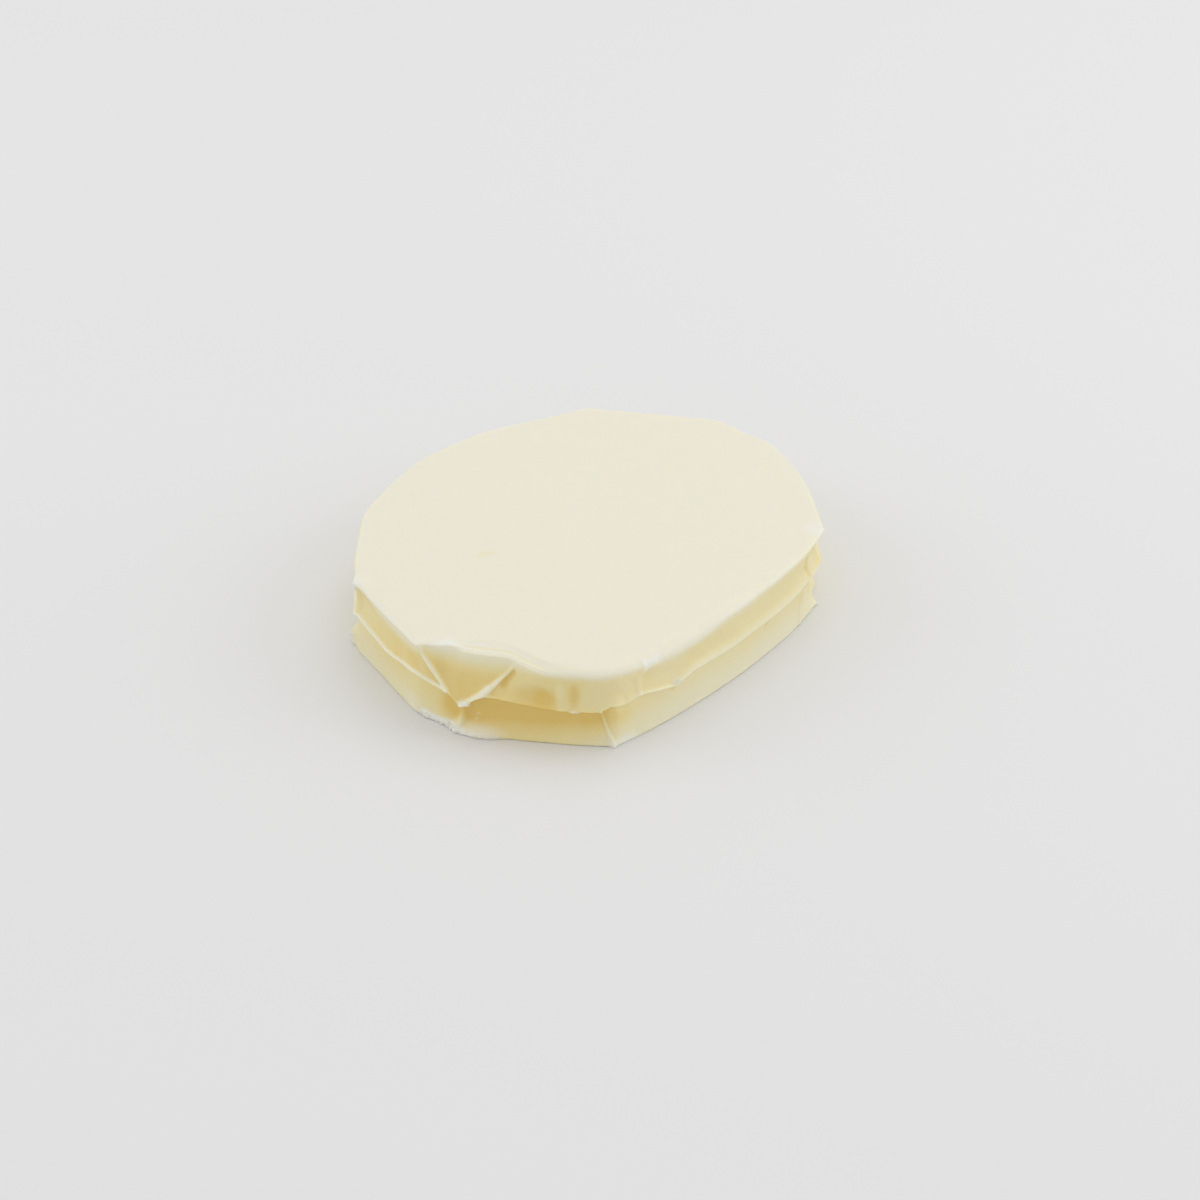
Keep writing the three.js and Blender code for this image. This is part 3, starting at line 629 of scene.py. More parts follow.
# White places: dry paste at the torn foot and at nicks in the top edge, white spots on ridges and
# knobs, and a painted highlight on the rounded top edge. (station, z), half sizes and strength.
WHITE_PLACES_AND_HIGHLIGHT = [
    ((9.2, 0.4), (3.2, 2.6), 0.9),
    ((9.9, 0.6), (4.6, 2.8), 0.9),
    ((10.14, 0.0), (10.0, 4.4), 0.9),
    ((10.13, 5.6), (1.0, 0.4), 0.35),
    ((10.12, 4.4), (0.6, 0.4), 0.35),
    ((10.98, 0.0), (2.0, 2.5), 0.6),
    ((11.16, 0.8), (6.0, 2.6), 0.9),
    ((8.95, 2.0), (7.0, 4.5), 0.35),
    ((11.5, 18.9), (2.2, 1.0), 0.7),
    ((10.74, 10.2), (1.5, 0.8), 1.0),
    ((10.05, 9.4), (2.2, 1.6), 0.5),
    ((10.19, 13.2), (1.8, 2.2), 0.25),
    # A painted highlight along the rounded top edge over the scoop.
    ((9.6, 21.2), (5.5, 1.3), 0.3),
    ((8.0, 20.8), (2.6, 2.0), 0.7),
    ((8.0, 11.0), (1.6, 1.6), 0.6),
    ((7.84, 0.5), (4.0, 4.0), 0.9),
    ((11.96, 11.0), (1.6, 1.2), 0.6),
    ((13.78, 15.5), (3.0, 4.5), 0.2),
    ((13.85, 1.5), (4.5, 3.5), 0.3),
    ((0.0, 20.8), (3.0, 2.0), 0.7),
]
# White places of the top: middle, reach and strength.
TOP_BLOOMS = [
    ((34.0, -52.0), 5.5, 0.6),
    ((-54.5, 31.5), 4.5, 0.5),
    ((-41.1, -48.8), 1.5, 0.5),
    ((-39.6, -49.0), 1.4, 0.5),
    ((-38.1, -49.3), 1.4, 0.4),
    ((-37.6, -48.4), 2.4, 0.3),
    ((-63.4, -3.6), 3.5, 0.6),
]
# The white comes in streaks along the wall: their length, height and seed, and the share of
# the white that is missing between them.
STREAKS = (5.0, 0.8, 2.2)
STREAK_LOSS = 0.5


# ---- meshes, objects and nodes ----


def new_mesh(name, points, faces, values):
    """A mesh from points in millimetres, with an attribute for each set of values."""
    mesh = bpy.data.meshes.new(name)
    mesh.from_pydata((points * MM).tolist(), [], faces)
    for value_name, numbers in values.items():
        attribute = mesh.attributes.new(value_name, "FLOAT", "POINT")
        attribute.data.foreach_set("value", numbers)
    return mesh


def add_object(name, data):
    """A new object in the scene."""
    thing = bpy.data.objects.new(name, data)
    bpy.context.scene.collection.objects.link(thing)
    return thing


def add_node(tree, kind, inputs, **settings):
    """A node with its settings, and with its inputs linked or set."""
    node = tree.nodes.new(kind)
    for name, value in settings.items():
        setattr(node, name, value)
    for socket, value in inputs.items():
        if isinstance(value, bpy.types.NodeSocket):
            tree.links.new(value, node.inputs[socket])
        else:
            node.inputs[socket].default_value = value
    return node


def maths(tree, operation, *values):
    """The result of a sum on numbers."""
    inputs = dict(enumerate(values))
    return add_node(tree, "ShaderNodeMath", inputs, operation=operation).outputs[0]


def vector_maths(tree, operation, *values):
    """The result of a sum on vectors."""
    inputs = dict(enumerate(values))
    return add_node(tree, "ShaderNodeVectorMath", inputs, operation=operation).outputs[0]


# ---- the fine surface ----

# The columns lie FINE_DENSITY times closer between two stations. Their places are worked out
# from a grid of COLUMN_GRID points round the outline.
COLUMN_COUNT = 768
COLUMN_GRID = 4001
FINE_FROM = 8.85
FINE_TO = 11.7
FINE_DENSITY = 3
# Rows of points in the foot's round, below the seam, above it and from the crest to the brow.
ROWS_FOOT = 6
ROWS_BELOW = 34
ROWS_ABOVE = 46
ROWS_EDGE = 16
# Powers by which the rows crowd towards the seam.
CROWDING_BELOW = 1.6
CROWDING_ABOVE = 1.25
# Rings inside the brow and inside the foot. A ring of no more points than this isn't halved.
TOP_RINGS = 40
UNDERSIDE_RINGS = 8
LEAST_RING = 12

# Marks that the film left all over the wall: length along it, height, seed and depth.
FILM_MARKS = [
    (7.0, 5.0, 3.1, 0.10),
    (1.6, 6.0, 8.4, 0.035),
    (0.9, 1.1, 5.9, 0.018),
]
# The film's marks slant by this much along the wall for each millimetre up.
FILM_SLANT = 0.7


def film_marks(distance, z):
    """How far the film's marks stand out."""
    slanted = distance + FILM_SLANT * z
    out = 0
    for length, height, seed, depth in FILM_MARKS:
        out = out + depth * ripple(slanted, z, length, height, seed)
    return out


def fine_wall(distance, z):
    return wall_out(distance, z) + film_marks(distance, z)


def column_distances():
    """Distances of the columns, which lie closer together where there are most pleats."""
    grid = np.linspace(0, AROUND, COLUMN_GRID)
    station = station_at(grid[:-1])
    fine = (station > FINE_FROM) & (station < FINE_TO)
    total = np.concatenate([[0], np.cumsum(np.where(fine, FINE_DENSITY, 1))])
    return np.interp(np.arange(COLUMN_COUNT) / COLUMN_COUNT * total[-1], total, grid)


def wall_heights(seam, crest_z):
    """The rows' heights, which lie closer together at the seam."""
    below = 1 - (1 - np.linspace(0, 1, ROWS_BELOW)) ** CROWDING_BELOW
    above = np.linspace(0, 1, ROWS_ABOVE + 1)[1:] ** CROWDING_ABOVE
    return np.concatenate([mix(BOTTOM_ROUND, seam, below), mix(seam, crest_z, above)], axis=1)


def patches_at(patches, distance, z):
    """The strengths of round patches of the wall, added up."""
    total = 0 * z
    for (station, height), (across, up), strength in patches:
        reach = np.hypot(gap(distance, distance_at(station)) / across, (z - height) / up)
        total = total + strength * ease(PATCH_SHARPNESS * (1 - reach))
    return total


def wall_tint_and_shade(distance, z, relief):
    """How yellow the wall is, by its place and its relief, with painted shade in its hollows and a
    painted highlight paling its ridges.
    """
    station = station_at(distance[:, 0])
    seam = seam_height(station)[:, None]
    crest_z = smooth_table(EDGE, station)[1]
    above, below, foot, fade, ridge_pale_and_highlight = smooth_table(WALL_TINT_AND_SHADE, station)
    tint_and_shade = mix(foot, below, ease(z / FOOT_TINT_HEIGHT))
    tint_and_shade = mix(tint_and_shade, above, ease((z - seam) / SEAM_TINT_BLEND))
    tint_and_shade = tint_and_shade + patches_at(SHADE_AND_HIGHLIGHT_PATCHES, distance, z)
    tint_and_shade = tint_and_shade * ease((crest_z + TINT_OVER_CREST - z) / fade)
    # Ridges pale, partly as drier paste and partly as a painted highlight; hollows yellow as
    # painted shade.
    tint_and_shade = tint_and_shade * (1 - RIDGE_PALE_AND_HIGHLIGHT * ease(ridge_pale_and_highlight * relief / RIDGE_FULL))
    return tint_and_shade + HOLLOW_SHADE * clamp(-relief / HOLLOW_FULL)


def wall_bloom_and_highlight(distance, z, relief):
    """How white the wall is: dry at the torn foot and in white places, with a painted highlight on
    its ridges.
    """
    ridge_pale_and_highlight = smooth_table(WALL_TINT_AND_SHADE, station_at(distance[:, 0]))[4]
    first, last = BOTTOM_FRAY["first"], BOTTOM_FRAY["last"]
    middle = distance_at((first + last) / 2)
    half = (distance_at(last) - distance_at(first)) / 2
    torn = ease(TORN_BLOOM_SIDES * (1 - np.abs(gap(distance, middle)) / half))
    torn = torn * ease(TORN_BLOOM_TOP * (1 - z / TORN_BLOOM_HEIGHT))
    bloom_and_highlight = torn + patches_at(WHITE_PLACES_AND_HIGHLIGHT, distance, z)
    bloom_and_highlight = bloom_and_highlight * (1 - STREAK_LOSS * clamp(ripple(distance, z, *STREAKS)))
    # Ridges whiten, partly as a painted highlight.
    return clamp(bloom_and_highlight + RIDGE_BLOOM_AND_HIGHLIGHT * ease(ridge_pale_and_highlight * relief / RIDGE_FULL))


def top_bloom(x, y):
    """How white and dry the top is."""
    total = 0 * x
    for middle, reach, strength in TOP_BLOOMS:
        total = total + strength * swell(np.hypot(x - middle[0], y - middle[1]) / reach)
    return total


def wall_frame(distance):
    """The outline below the seam and above it, and the way out of the wall, for columns."""
    low_point = outline_point(distance, LOW_ROUNDING)[:, None]
    high_point = outline_point(distance, HIGH_ROUNDING)[:, None]
    return low_point, high_point, outward_at(distance)[:, None]


def wall_place(column_frame, seam, z, out):
    """Where points of the wall lie from above, by their heights and how far out they stand."""
    low_point, high_point, outward = column_frame
    rise = ease((z - seam) / ROUNDING_RISE)[..., None]
    return mix(low_point, high_point, rise) + outward * out[..., None]


def wall_rows(distance, seam, crest_z, fray):
    """The heights of the wall's rows and how far out they stand."""
    z = wall_heights(seam, crest_z)
    torn = ease((z / crest_z - TOP_FRAY_START) / (1 - TOP_FRAY_START))
    return z, fine_wall(distance, z) - fray * torn


def foot_rows(wall_out_at_foot):
    """The heights of the rows in the foot's round and how far out they stand."""
    turn = np.linspace(0, 1, ROWS_FOOT + 1)[:-1] * np.pi / 2
    z = BOTTOM_ROUND * (1 - np.cos(turn)) + 0 * wall_out_at_foot
    return z, wall_out_at_foot - BOTTOM_ROUND * (1 - np.sin(turn))


def edge_turn(share, shelf):
    """How far rows at a share of the way from crest to brow have turned in and risen, and how
    deep they lie in the shelf's groove."""
    arc = share * np.pi / 2
    inward = mix(1 - np.cos(arc), share, shelf)
    bead = SHELF_BEAD * ease(share / SHELF_BEAD_LENGTH)
    step = (1 - SHELF_BEAD) * ease((share - SHELF_STEP_AT) / SHELF_STEP_LENGTH)
    risen = mix(np.sin(arc), bead + step, shelf)
    groove = shelf * swell((share - SHELF_GROOVE_AT) / SHELF_GROOVE_WIDTH)
    return inward, risen, groove


def whole_column(foot, wall, edge):
    """The rows of the foot, the wall and the edge as one column."""
    return np.concatenate([foot, wall, edge], axis=1)


def foot_like_wall(wall):
    """The wall's lowest values, repeated over the rows of the foot."""
    return np.repeat(wall[:, :1], ROWS_FOOT, axis=1)


def slab_skin():
    """The skin from the underside to the brow of the top, column by column: its points, and how
    yellow and how white each is."""
    distance = column_distances()
    station = station_at(distance)
    column_frame = wall_frame(distance)
    distance = distance[:, None]
    seam = seam_height(station)[:, None]
    _, crest_z, brow, shelf, _ = smooth_table(EDGE, station)
    fray = fray_at(TOP_FRAY, distance)

    z_wall, out_wall = wall_rows(distance, seam, crest_z, fray)
    z_foot, out_foot = foot_rows(out_wall[:, :1])
    share = np.linspace(0, 1, ROWS_EDGE + 1)[1:]
    inward, risen, groove = edge_turn(share, shelf)
    out_edge = mix(out_wall[:, -1:], -brow - fray, inward)

    # The edge follows the outline that the wall has at its crest.
    z_level = whole_column(z_foot, z_wall, crest_z + 0 * share)
    xy = wall_place(column_frame, seam, z_level, whole_column(out_foot, out_wall, out_edge))
    edge_x, edge_y = xy[:, -ROWS_EDGE:, 0], xy[:, -ROWS_EDGE:, 1]
    z_edge = mix(crest_z, top_height(edge_x, edge_y), risen) - SHELF_GROOVE * groove
    z = whole_column(z_foot, z_wall, z_edge)

    relief = relief_out(distance, z_wall)
    tint_and_shade = wall_tint_and_shade(distance, z_wall, relief)
    # The shelf's groove is yellowed as painted shade.
    tint_and_shade_edge = mix(tint_and_shade[:, -1:], 0, ease(inward)) + GROOVE_SHADE * groove
    bloom_and_highlight = wall_bloom_and_highlight(distance, z_wall, relief)
    # The white line along the top edge is a painted highlight over a paler rim.
    rim_and_highlight_line = EDGE_RIM_AND_HIGHLIGHT * swell((share - EDGE_HIGHLIGHT_AT) / EDGE_HIGHLIGHT_WIDTH)
    bloom_and_highlight_edge = mix(bloom_and_highlight[:, -1:], 0, ease(inward)) + rim_and_highlight_line
    bloom_and_highlight_edge = bloom_and_highlight_edge + top_bloom(edge_x, edge_y) * ease(share / EDGE_BLOOM_BLEND)
    return (
        np.concatenate([xy, z[..., None]], axis=2),
        whole_column(foot_like_wall(tint_and_shade), tint_and_shade, tint_and_shade_edge),
        whole_column(foot_like_wall(bloom_and_highlight), bloom_and_highlight, bloom_and_highlight_edge),
    )


def cap(rim, rings, height):
    """The points inside a rim, on rings that lose half their points as they shrink, and the
    faces, in which the rim's points come first."""
    points, faces = [], []
    ring, ring_xy = np.arange(len(rim)), rim[:, :2]
    for share in np.linspace(1, 0, rings + 1)[1:-1]:
        wanted = len(rim) / 2 ** (1 + math.floor(-math.log2(share)))
        halved = len(ring) > wanted and len(ring) % 2 == 0 and len(ring) > LEAST_RING
        ring_xy = ring_xy[::2] if halved else ring_xy
        inner = ring[-1] + 1 + np.arange(len(ring_xy))
        points.append(np.column_stack([ring_xy * share, height(*(ring_xy * share).T)]))
        beside = np.roll(inner, -1)
        if halved:
            a, b, c = ring[::2], ring[1::2], np.roll(ring[::2], -1)
            thirds = ((a, b, inner), (b, beside, inner), (b, c, beside))
            faces += np.concatenate([np.stack(third, axis=1) for third in thirds]).tolist()
        else:
            faces += np.stack([ring, np.roll(ring, -1), beside, inner], axis=1).tolist()
        ring = inner
    faces.append(ring.tolist())
    return np.concatenate(points), faces


def underside_height(x, y):
    return 0 * x


def grid_faces(index):
    """Quads between neighbouring columns of a grid of point numbers."""
    corners = (index[:-1, :-1], index[1:, :-1], index[1:, 1:], index[:-1, 1:])
    return np.stack(corners, axis=-1).reshape(-1, 4).tolist()


def renumbered(faces, rim, first_inside):
    """A cap's faces with the numbers that the whole mesh gives to its rim and to the points
    inside, which start from first_inside."""
    numbers = rim.tolist()
    count = len(numbers)
    return [[numbers[v] if v < count else first_inside + v - count for v in f] for f in faces]


def slab_mesh():
    """The slab's skin, closed by the top and the underside."""
    skin, tint_and_shade, bloom_and_highlight = slab_skin()
    columns, rows = skin.shape[:2]
    index = np.arange(columns * rows).reshape(columns, rows)
    top, top_faces = cap(skin[:, -1], TOP_RINGS, top_height)
    under, under_faces = cap(skin[:, 0], UNDERSIDE_RINGS, underside_height)
    faces = grid_faces(np.concatenate([index, index[:1]]))
    faces += renumbered(top_faces, index[:, -1], index.size)
    under_faces = renumbered(under_faces, index[:, 0], index.size + len(top))
    faces += [face[::-1] for face in under_faces]

    top_tint = MARK_TINT * mark_at(top[:, 0], top[:, 1])
    under_tint = np.full(len(under), UNDERSIDE_TINT)
    blooms = [bloom_and_highlight.ravel(), top_bloom(top[:, 0], top[:, 1]), np.zeros(len(under))]
    values = {
        "tint_and_shade": np.concatenate([tint_and_shade.ravel(), top_tint, under_tint]),
        "bloom_and_highlight": np.concatenate(blooms),
    }
    mesh = new_mesh("slab", np.concatenate([skin.reshape(-1, 3), top, under]), faces, values)
    mesh.shade_smooth()
    return mesh


# ---- crumbs ----

# Torn patches of the wall that crumbs cling to: from and to as (station, z), and how coarse
# the crumbs are there.
TORN_PATCHES = [
    ((9.0, 0.3), (10.06, 1.3), 0.7),
    ((9.02, 0.3), (9.32, 1.8), 1.1),
    ((9.68, 0.3), (10.0, 2.2), 1.1),
    ((10.0, 0.3), (10.3, 1.2), 0.6),
    ((2.02, 20.0), (2.98, 20.9), 0.8),
    ((7.8, 0.4), (7.92, 4.0), 0.7),
    ((7.95, 19.6), (8.06, 20.6), 0.6),
    ((10.7, 9.9), (10.79, 10.5), 0.8),
    ((11.9, 10.6), (12.02, 11.5), 0.6),
    ((10.0, 8.7), (10.1, 9.3), 0.6),
]
# Crumbs for each square millimetre where they are thickest, and their half sizes in metres.
CRUMBS_PER_AREA = 9
CRUMB_SMALLEST = 0.0001
CRUMB_LARGEST = 0.00042
CRUMB_SEED = 7
# How white and how yellow crumbs are.
CRUMB_BLOOM = 1.0
CRUMB_TINT = 0.2
# Clumps of crumbs: their length, height and seed, and how much lies between them.
CRUMB_CLUMPS = (2.0, 1.2, 4.6)
CRUMB_BETWEEN = 0.8
# How sharply a torn patch ends at both sides and at its top, and its points along and up.
TORN_PATCH_SIDES = 3
TORN_PATCH_TOP = 2
TORN_PATCH_GRID = (40, 6)
# How finely a crumb's surface is broken, in bumps per metre.
CRUMB_BREAKS = 1600
# The middle of a noise colour, which is taken off to push points both ways.
NOISE_MIDDLE = (0.5, 0.5, 0.5)
# No point of a crumb lies below the floor. The other two limits are far past the slab.
LOWEST_PLACE = (-1, -1, 0)


def crumb_ground():
    """The torn patches as a mesh on the wall, with how thick and how coarse crumbs lie there."""
    points, faces, thick, coarse = [], [], [], []
    columns, rows = TORN_PATCH_GRID
    share = np.linspace(0, 1, columns)[:, None]
    up = np.linspace(0, 1, rows)[None]
    inside = ease(TORN_PATCH_SIDES * (1 - np.abs(2 * share - 1)))
    inside = inside * ease(TORN_PATCH_TOP * (1 - up))
    for (station, height), (last_station, last_height), coarseness in TORN_PATCHES:
        distance = mix(distance_at(station), distance_at(last_station), share)
        at = station_at(distance[:, 0])
        z = np.minimum(mix(height, last_height, up), smooth_table(EDGE, at)[1])
        seam = seam_height(at)[:, None]
        xy = wall_place(wall_frame(distance[:, 0]), seam, z, fine_wall(distance, z))
        first = len(points) * columns * rows
        faces += grid_faces(first + np.arange(columns * rows).reshape(columns, rows))
        points.append(np.concatenate([xy, z[..., None]], axis=2).reshape(-1, 3))
        clumps = clamp(ripple(distance, z, *CRUMB_CLUMPS) + CRUMB_BETWEEN)
        thick.append((inside * clumps).ravel())
        coarse.append(np.full(columns * rows, coarseness))
    values = {"thick": np.concatenate(thick), "coarse": np.concatenate(coarse)}
    return new_mesh("torn patches", np.concatenate(points), faces, values)


def stored(tree, name):
    """What a mesh has stored under a name."""
    node = add_node(tree, "GeometryNodeInputNamedAttribute", {"Name": name})
    return node.outputs["Attribute"]


def random_vector(tree, low, high, seed):
    inputs = {"Min": low, "Max": high, "Seed": seed}
    node = add_node(tree, "FunctionNodeRandomValue", inputs, data_type="FLOAT_VECTOR")
    return node.outputs["Value"]


def strewn_crumbs(tree, given):
    """Round crumbs of random sizes, each turned its own way, made real."""
    density = maths(tree, "MULTIPLY", given["Density"], stored(tree, "thick"))
    ground = {"Mesh": given["Ground"], "Density": density, "Seed": given["Seed"]}
    spots = add_node(tree, "GeometryNodeDistributePointsOnFaces", ground)
    crumb = add_node(tree, "GeometryNodeMeshIcoSphere", {"Radius": 1})
    size_seed = maths(tree, "ADD", given["Seed"], 1)
    size = random_vector(tree, given["Smallest"], given["Largest"], size_seed)
    full_turn = (2 * np.pi, 2 * np.pi, 2 * np.pi)
    turn_seed = maths(tree, "ADD", given["Seed"], 2)
    placing = {
        "Points": spots.outputs["Points"],
        "Instance": crumb.outputs["Mesh"],
        "Rotation": random_vector(tree, (0, 0, 0), full_turn, turn_seed),
        "Scale": vector_maths(tree, "MULTIPLY", size, stored(tree, "coarse")),
    }
    strewn = add_node(tree, "GeometryNodeInstanceOnPoints", placing).outputs["Instances"]
    return add_node(tree, "GeometryNodeRealizeInstances", {"Geometry": strewn}).outputs["Geometry"]


def broken_crumbs(tree, crumbs, size):
    """Crumbs with an uneven surface, none of them below the floor."""
    noise = add_node(tree, "ShaderNodeTexNoise", {"Scale": CRUMB_BREAKS}).outputs["Color"]
    push = vector_maths(tree, "SUBTRACT", noise, NOISE_MIDDLE)
    offset = vector_maths(tree, "MULTIPLY", push, size)
    broken = add_node(tree, "GeometryNodeSetPosition", {"Geometry": crumbs, "Offset": offset})
    place = add_node(tree, "GeometryNodeInputPosition", {}).outputs["Position"]
    above = vector_maths(tree, "MAXIMUM", place, LOWEST_PLACE)
    lifted = {"Geometry": broken.outputs["Geometry"], "Position": above}
    return add_node(tree, "GeometryNodeSetPosition", lifted).outputs["Geometry"]


def crumb_tree():
    """A tree that strews uneven crumbs over a mesh."""
    tree = bpy.data.node_groups.new("crumbs on a surface", "GeometryNodeTree")
    sockets = {
        "Ground": "NodeSocketGeometry",
        "Density": "NodeSocketFloat",
        "Smallest": "NodeSocketFloat",
        "Largest": "NodeSocketFloat",
        "Seed": "NodeSocketInt",
        "Material": "NodeSocketMaterial",
    }
    for name, kind in sockets.items():
        tree.interface.new_socket(name, in_out="INPUT", socket_type=kind)
    tree.interface.new_socket("Crumbs", in_out="OUTPUT", socket_type="NodeSocketGeometry")
    given = tree.nodes.new("NodeGroupInput").outputs
    crumbs = broken_crumbs(tree, strewn_crumbs(tree, given), given["Largest"])
    for name, value in (("bloom_and_highlight", CRUMB_BLOOM), ("tint_and_shade", CRUMB_TINT)):
        inputs = {"Geometry": crumbs, "Name": name, "Value": value}
        crumbs = add_node(tree, "GeometryNodeStoreNamedAttribute", inputs).outputs["Geometry"]
    dressing = {"Geometry": crumbs, "Material": given["Material"]}
    dressed = add_node(tree, "GeometryNodeSetMaterial", dressing).outputs["Geometry"]
    add_node(tree, "NodeGroupOutput", {"Crumbs": dressed})
    return tree


def crumbs_piece(material):
    """The crumbs as a plain mesh of their own."""
    source = add_object("torn patches", crumb_ground())
    modifier = source.modifiers.new("crumbs", "NODES")
    modifier.node_group = crumb_tree()
    values = {
        "Density": CRUMBS_PER_AREA / MM**2,
        "Smallest": CRUMB_SMALLEST,
        "Largest": CRUMB_LARGEST,
        "Seed": CRUMB_SEED,
        "Material": material,
    }
    for item in modifier.node_group.interface.items_tree:
        if item.name in values:
            modifier[item.identifier] = values[item.name]
    source.data.update()
    depsgraph = bpy.context.evaluated_depsgraph_get()
    mesh = bpy.data.meshes.new_from_object(source.evaluated_get(depsgraph))
    source.modifiers.clear()
    bpy.data.objects.remove(source)
    # The tree leaves an empty slot before the paste's, which no crumb wears.
    while mesh.materials[0] is None:
        mesh.materials.pop(index=0)
    return add_object("crumbs", mesh)


# ---- finish ----

# Colours of the paste by tint, from the pale top to the deepest hollow; the yellower stops are
# partly painted warm bounce light and painted shade, the last that of the shaded lower front.
TINT_AND_SHADE_COLOURS = [
    (0.0, (0.86, 0.82, 0.675)),
    (0.5, (0.85, 0.79, 0.54)),
    (1.0, (0.84, 0.715, 0.345)),
    (1.6, (0.785, 0.575, 0.17)),
]
TINT_LIMIT = TINT_AND_SHADE_COLOURS[-1][0]
# White of dry paste, and of the painted highlights on ridges and the top edge.
BLOOM_AND_HIGHLIGHT_COLOUR = (0.88, 0.87, 0.785, 1)
ROUGHNESS = 0.42
# How much light the paste lets in where it is not dry, how far in metres, and how much of that
# red, green and blue light go.
SUBSURFACE = 0.5
SUBSURFACE_SCALE = 0.0012
SUBSURFACE_RADIUS = (1, 0.9, 0.5)
# Faint mottling of the tint, in patches per metre, its detail and its strength.
MOTTLE_SCALE = 90
MOTTLE_DETAIL = 3
MOTTLE_TINT = 0.4
# The paste's fine grain, in grains per metre, its detail and its height in metres.
GRAIN_SCALE = 900
GRAIN_DETAIL = 4
GRAIN_DISTANCE = 0.00008


def tint_and_shade_colour(tree, place, tint_and_shade):
    """The paste's colour by its tint, which holds painted shade and bounce light with its own
    yellow, a little mottled.
    """
    noise = {"Vector": place, "Scale": MOTTLE_SCALE, "Detail": MOTTLE_DETAIL}
    mottle = add_node(tree, "ShaderNodeTexNoise", noise).outputs["Fac"]
    uneven = maths(tree, "MULTIPLY_ADD", mottle, MOTTLE_TINT, 1 - MOTTLE_TINT / 2)
    mottled = maths(tree, "MULTIPLY", tint_and_shade, uneven)
    share = maths(tree, "DIVIDE", mottled, TINT_LIMIT)
    ramp = add_node(tree, "ShaderNodeValToRGB", {"Fac": share})
    stops = ramp.color_ramp.elements
    for tint_there, _ in TINT_AND_SHADE_COLOURS[1:-1]:
        stops.new(tint_there / TINT_LIMIT)
    for stop, (_, colour) in zip(stops, TINT_AND_SHADE_COLOURS):
        stop.color = (*colour, 1)
    return ramp.outputs["Color"]


def grain_normal(tree, place):
    """The paste's fine grain as a normal."""
    noise = {"Vector": place, "Scale": GRAIN_SCALE, "Detail": GRAIN_DETAIL}
    grain = add_node(tree, "ShaderNodeTexNoise", noise).outputs["Fac"]
    bump = {"Distance": GRAIN_DISTANCE, "Height": grain}
    return add_node(tree, "ShaderNodeBump", bump).outputs["Normal"]


def paste_material():
    """Moist cheese, yellow by its tint, which partly holds painted shade, and white, dry and dull
    to light by its bloom, which partly holds painted highlights.
    """
    material = bpy.data.materials.new("paste")
    material.use_nodes = True
    tree = material.node_tree
    shader = tree.nodes["Principled BSDF"]
    place = add_node(tree, "ShaderNodeTexCoord", {}).outputs["Object"]
    tint_and_shade = add_node(tree, "ShaderNodeAttribute", {}, attribute_name="tint_and_shade").outputs["Fac"]
    bloom_and_highlight = add_node(tree, "ShaderNodeAttribute", {}, attribute_name="bloom_and_highlight").outputs["Fac"]

    blend = {"Factor": bloom_and_highlight, "A": tint_and_shade_colour(tree, place, tint_and_shade), "B": BLOOM_AND_HIGHLIGHT_COLOUR}
    whitened = add_node(tree, "ShaderNodeMix", blend, data_type="RGBA")
    fall = {0: bloom_and_highlight, 1: -SUBSURFACE, 2: SUBSURFACE}
    clamped = {"operation": "MULTIPLY_ADD", "use_clamp": True}
    moist = add_node(tree, "ShaderNodeMath", fall, **clamped)
    tree.links.new(whitened.outputs["Result"], shader.inputs["Base Color"])
    tree.links.new(grain_normal(tree, place), shader.inputs["Normal"])
    tree.links.new(moist.outputs[0], shader.inputs["Subsurface Weight"])
    shader.inputs["Roughness"].default_value = ROUGHNESS
    shader.inputs["Subsurface Scale"].default_value = SUBSURFACE_SCALE
    shader.inputs["Subsurface Radius"].default_value = SUBSURFACE_RADIUS
    return material


# ---- camera, floor and light ----

CAMERA_SENSOR = 36
CAMERA_LENS = 73.5
CAMERA_AZIMUTH = math.radians(-55.4)
CAMERA_ELEVATION = math.radians(33.76)
CAMERA_DISTANCE = 0.659
CAMERA_TARGET = Vector((0.0006, -0.0057, 0))
FLOOR_HALF = 3
FLOOR_COLOUR = (0.8, 0.8, 0.8, 1)
FLOOR_ROUGHNESS = 0.9
# Soft square lights: where each stands to the right of the slab, behind it and above it as the
# camera sees it, its size and its power.
LIGHTS = {
    "overhead": ((0.3, 0.6, 1.3), 1.0, 2.8),
    "right": ((1.1, 0.1, 0.5), 0.8, 2.5),
    "left": ((-1.1, 0.2, 0.5), 0.8, 2),
}
STUDIO_COLOUR = (1, 1, 1, 1)
STUDIO_STRENGTH = 0.75


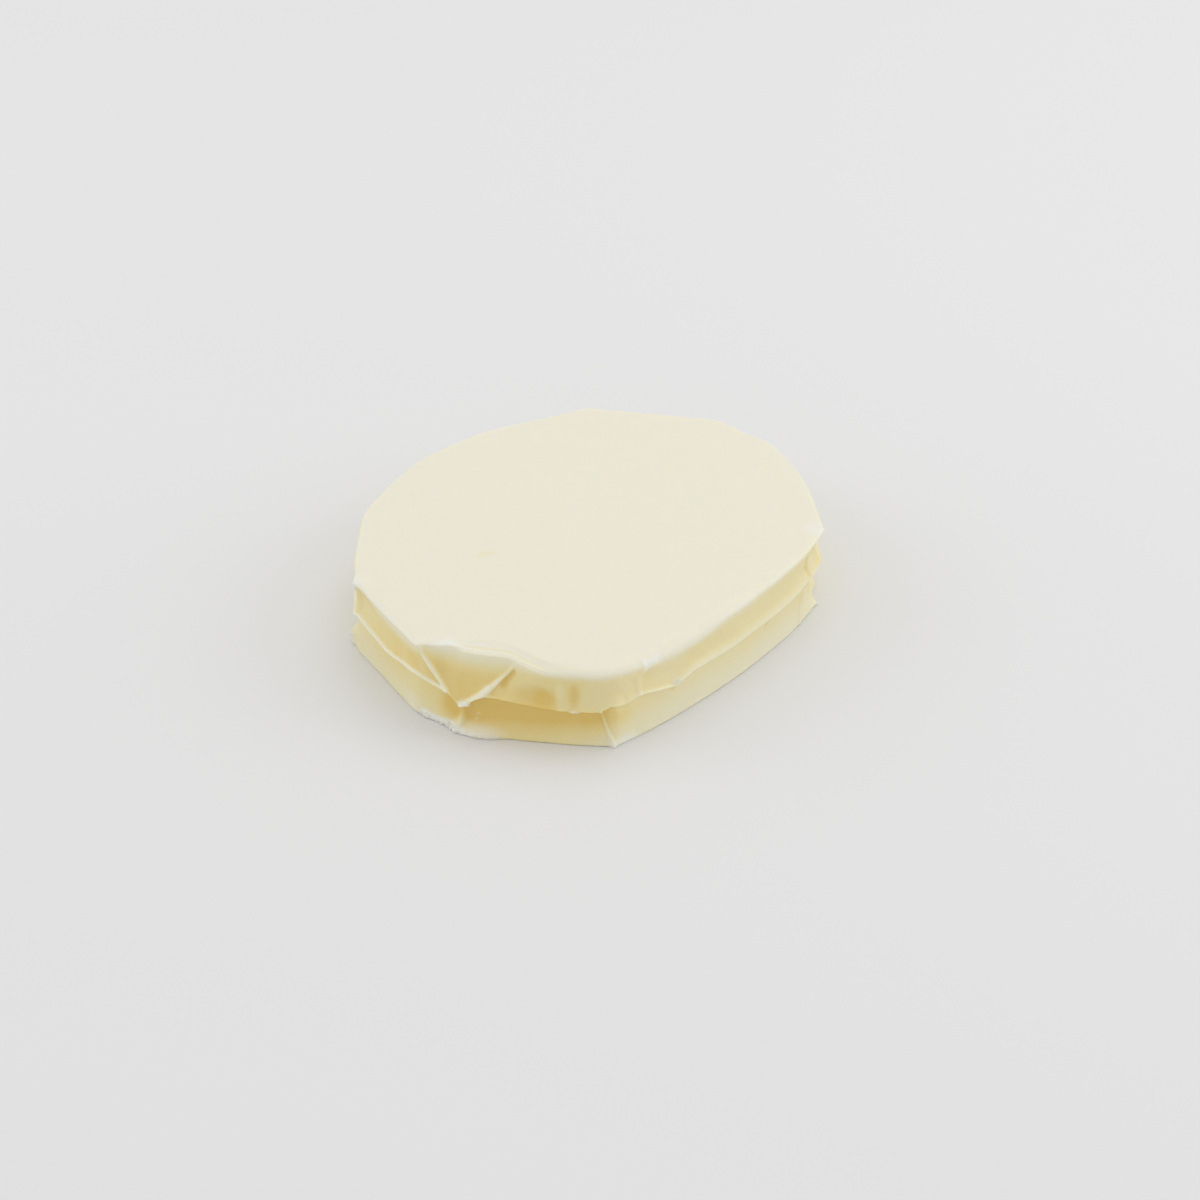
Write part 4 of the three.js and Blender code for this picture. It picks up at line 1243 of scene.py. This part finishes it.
def look_from(thing, place, target):
    """Stand a camera or light at a place, turned towards a target."""
    thing.location = place
    thing.rotation_euler = (target - place).to_track_quat("-Z", "Y").to_euler()


def add_camera():
    data = bpy.data.cameras.new("camera")
    data.sensor_width = CAMERA_SENSOR
    data.lens = CAMERA_LENS
    camera = add_object("camera", data)
    level = Vector((math.sin(CAMERA_AZIMUTH), -math.cos(CAMERA_AZIMUTH), 0))
    away = level * math.cos(CAMERA_ELEVATION) + Vector((0, 0, math.sin(CAMERA_ELEVATION)))
    look_from(camera, CAMERA_TARGET + away * CAMERA_DISTANCE, CAMERA_TARGET)
    bpy.context.scene.camera = camera


def add_floor():
    mesh = bpy.data.meshes.new("floor")
    half = FLOOR_HALF
    corners = [(-half, -half, 0), (half, -half, 0), (half, half, 0), (-half, half, 0)]
    mesh.from_pydata(corners, [], [(0, 1, 2, 3)])
    material = bpy.data.materials.new("floor")
    material.use_nodes = True
    shader = material.node_tree.nodes["Principled BSDF"]
    shader.inputs["Base Color"].default_value = FLOOR_COLOUR
    shader.inputs["Roughness"].default_value = FLOOR_ROUGHNESS
    mesh.materials.append(material)
    add_object("floor", mesh)


def add_light(name, place, size, power):
    data = bpy.data.lights.new(name, "AREA")
    data.shape = "SQUARE"
    data.size = size
    data.energy = power
    right, behind, above = place
    c, s = math.cos(CAMERA_AZIMUTH), math.sin(CAMERA_AZIMUTH)
    world_place = Vector((c * right - s * behind, s * right + c * behind, above))
    look_from(add_object(name, data), world_place, Vector((0, 0, 0)))


def add_lights():
    world = bpy.data.worlds.new("studio")
    world.use_nodes = True
    background = world.node_tree.nodes["Background"]
    background.inputs["Color"].default_value = STUDIO_COLOUR
    background.inputs["Strength"].default_value = STUDIO_STRENGTH
    bpy.context.scene.world = world
    for name, (place, size, power) in LIGHTS.items():
        add_light(name, place, size, power)
    bpy.context.scene.view_settings.view_transform = "Standard"


add_camera()
add_floor()
add_lights()
paste = paste_material()
slab = add_object("slab", slab_mesh())
slab.data.materials.append(paste)
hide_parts("cheese")
crumbs = crumbs_piece(paste)
for piece in (slab, crumbs):
    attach(piece, "root")
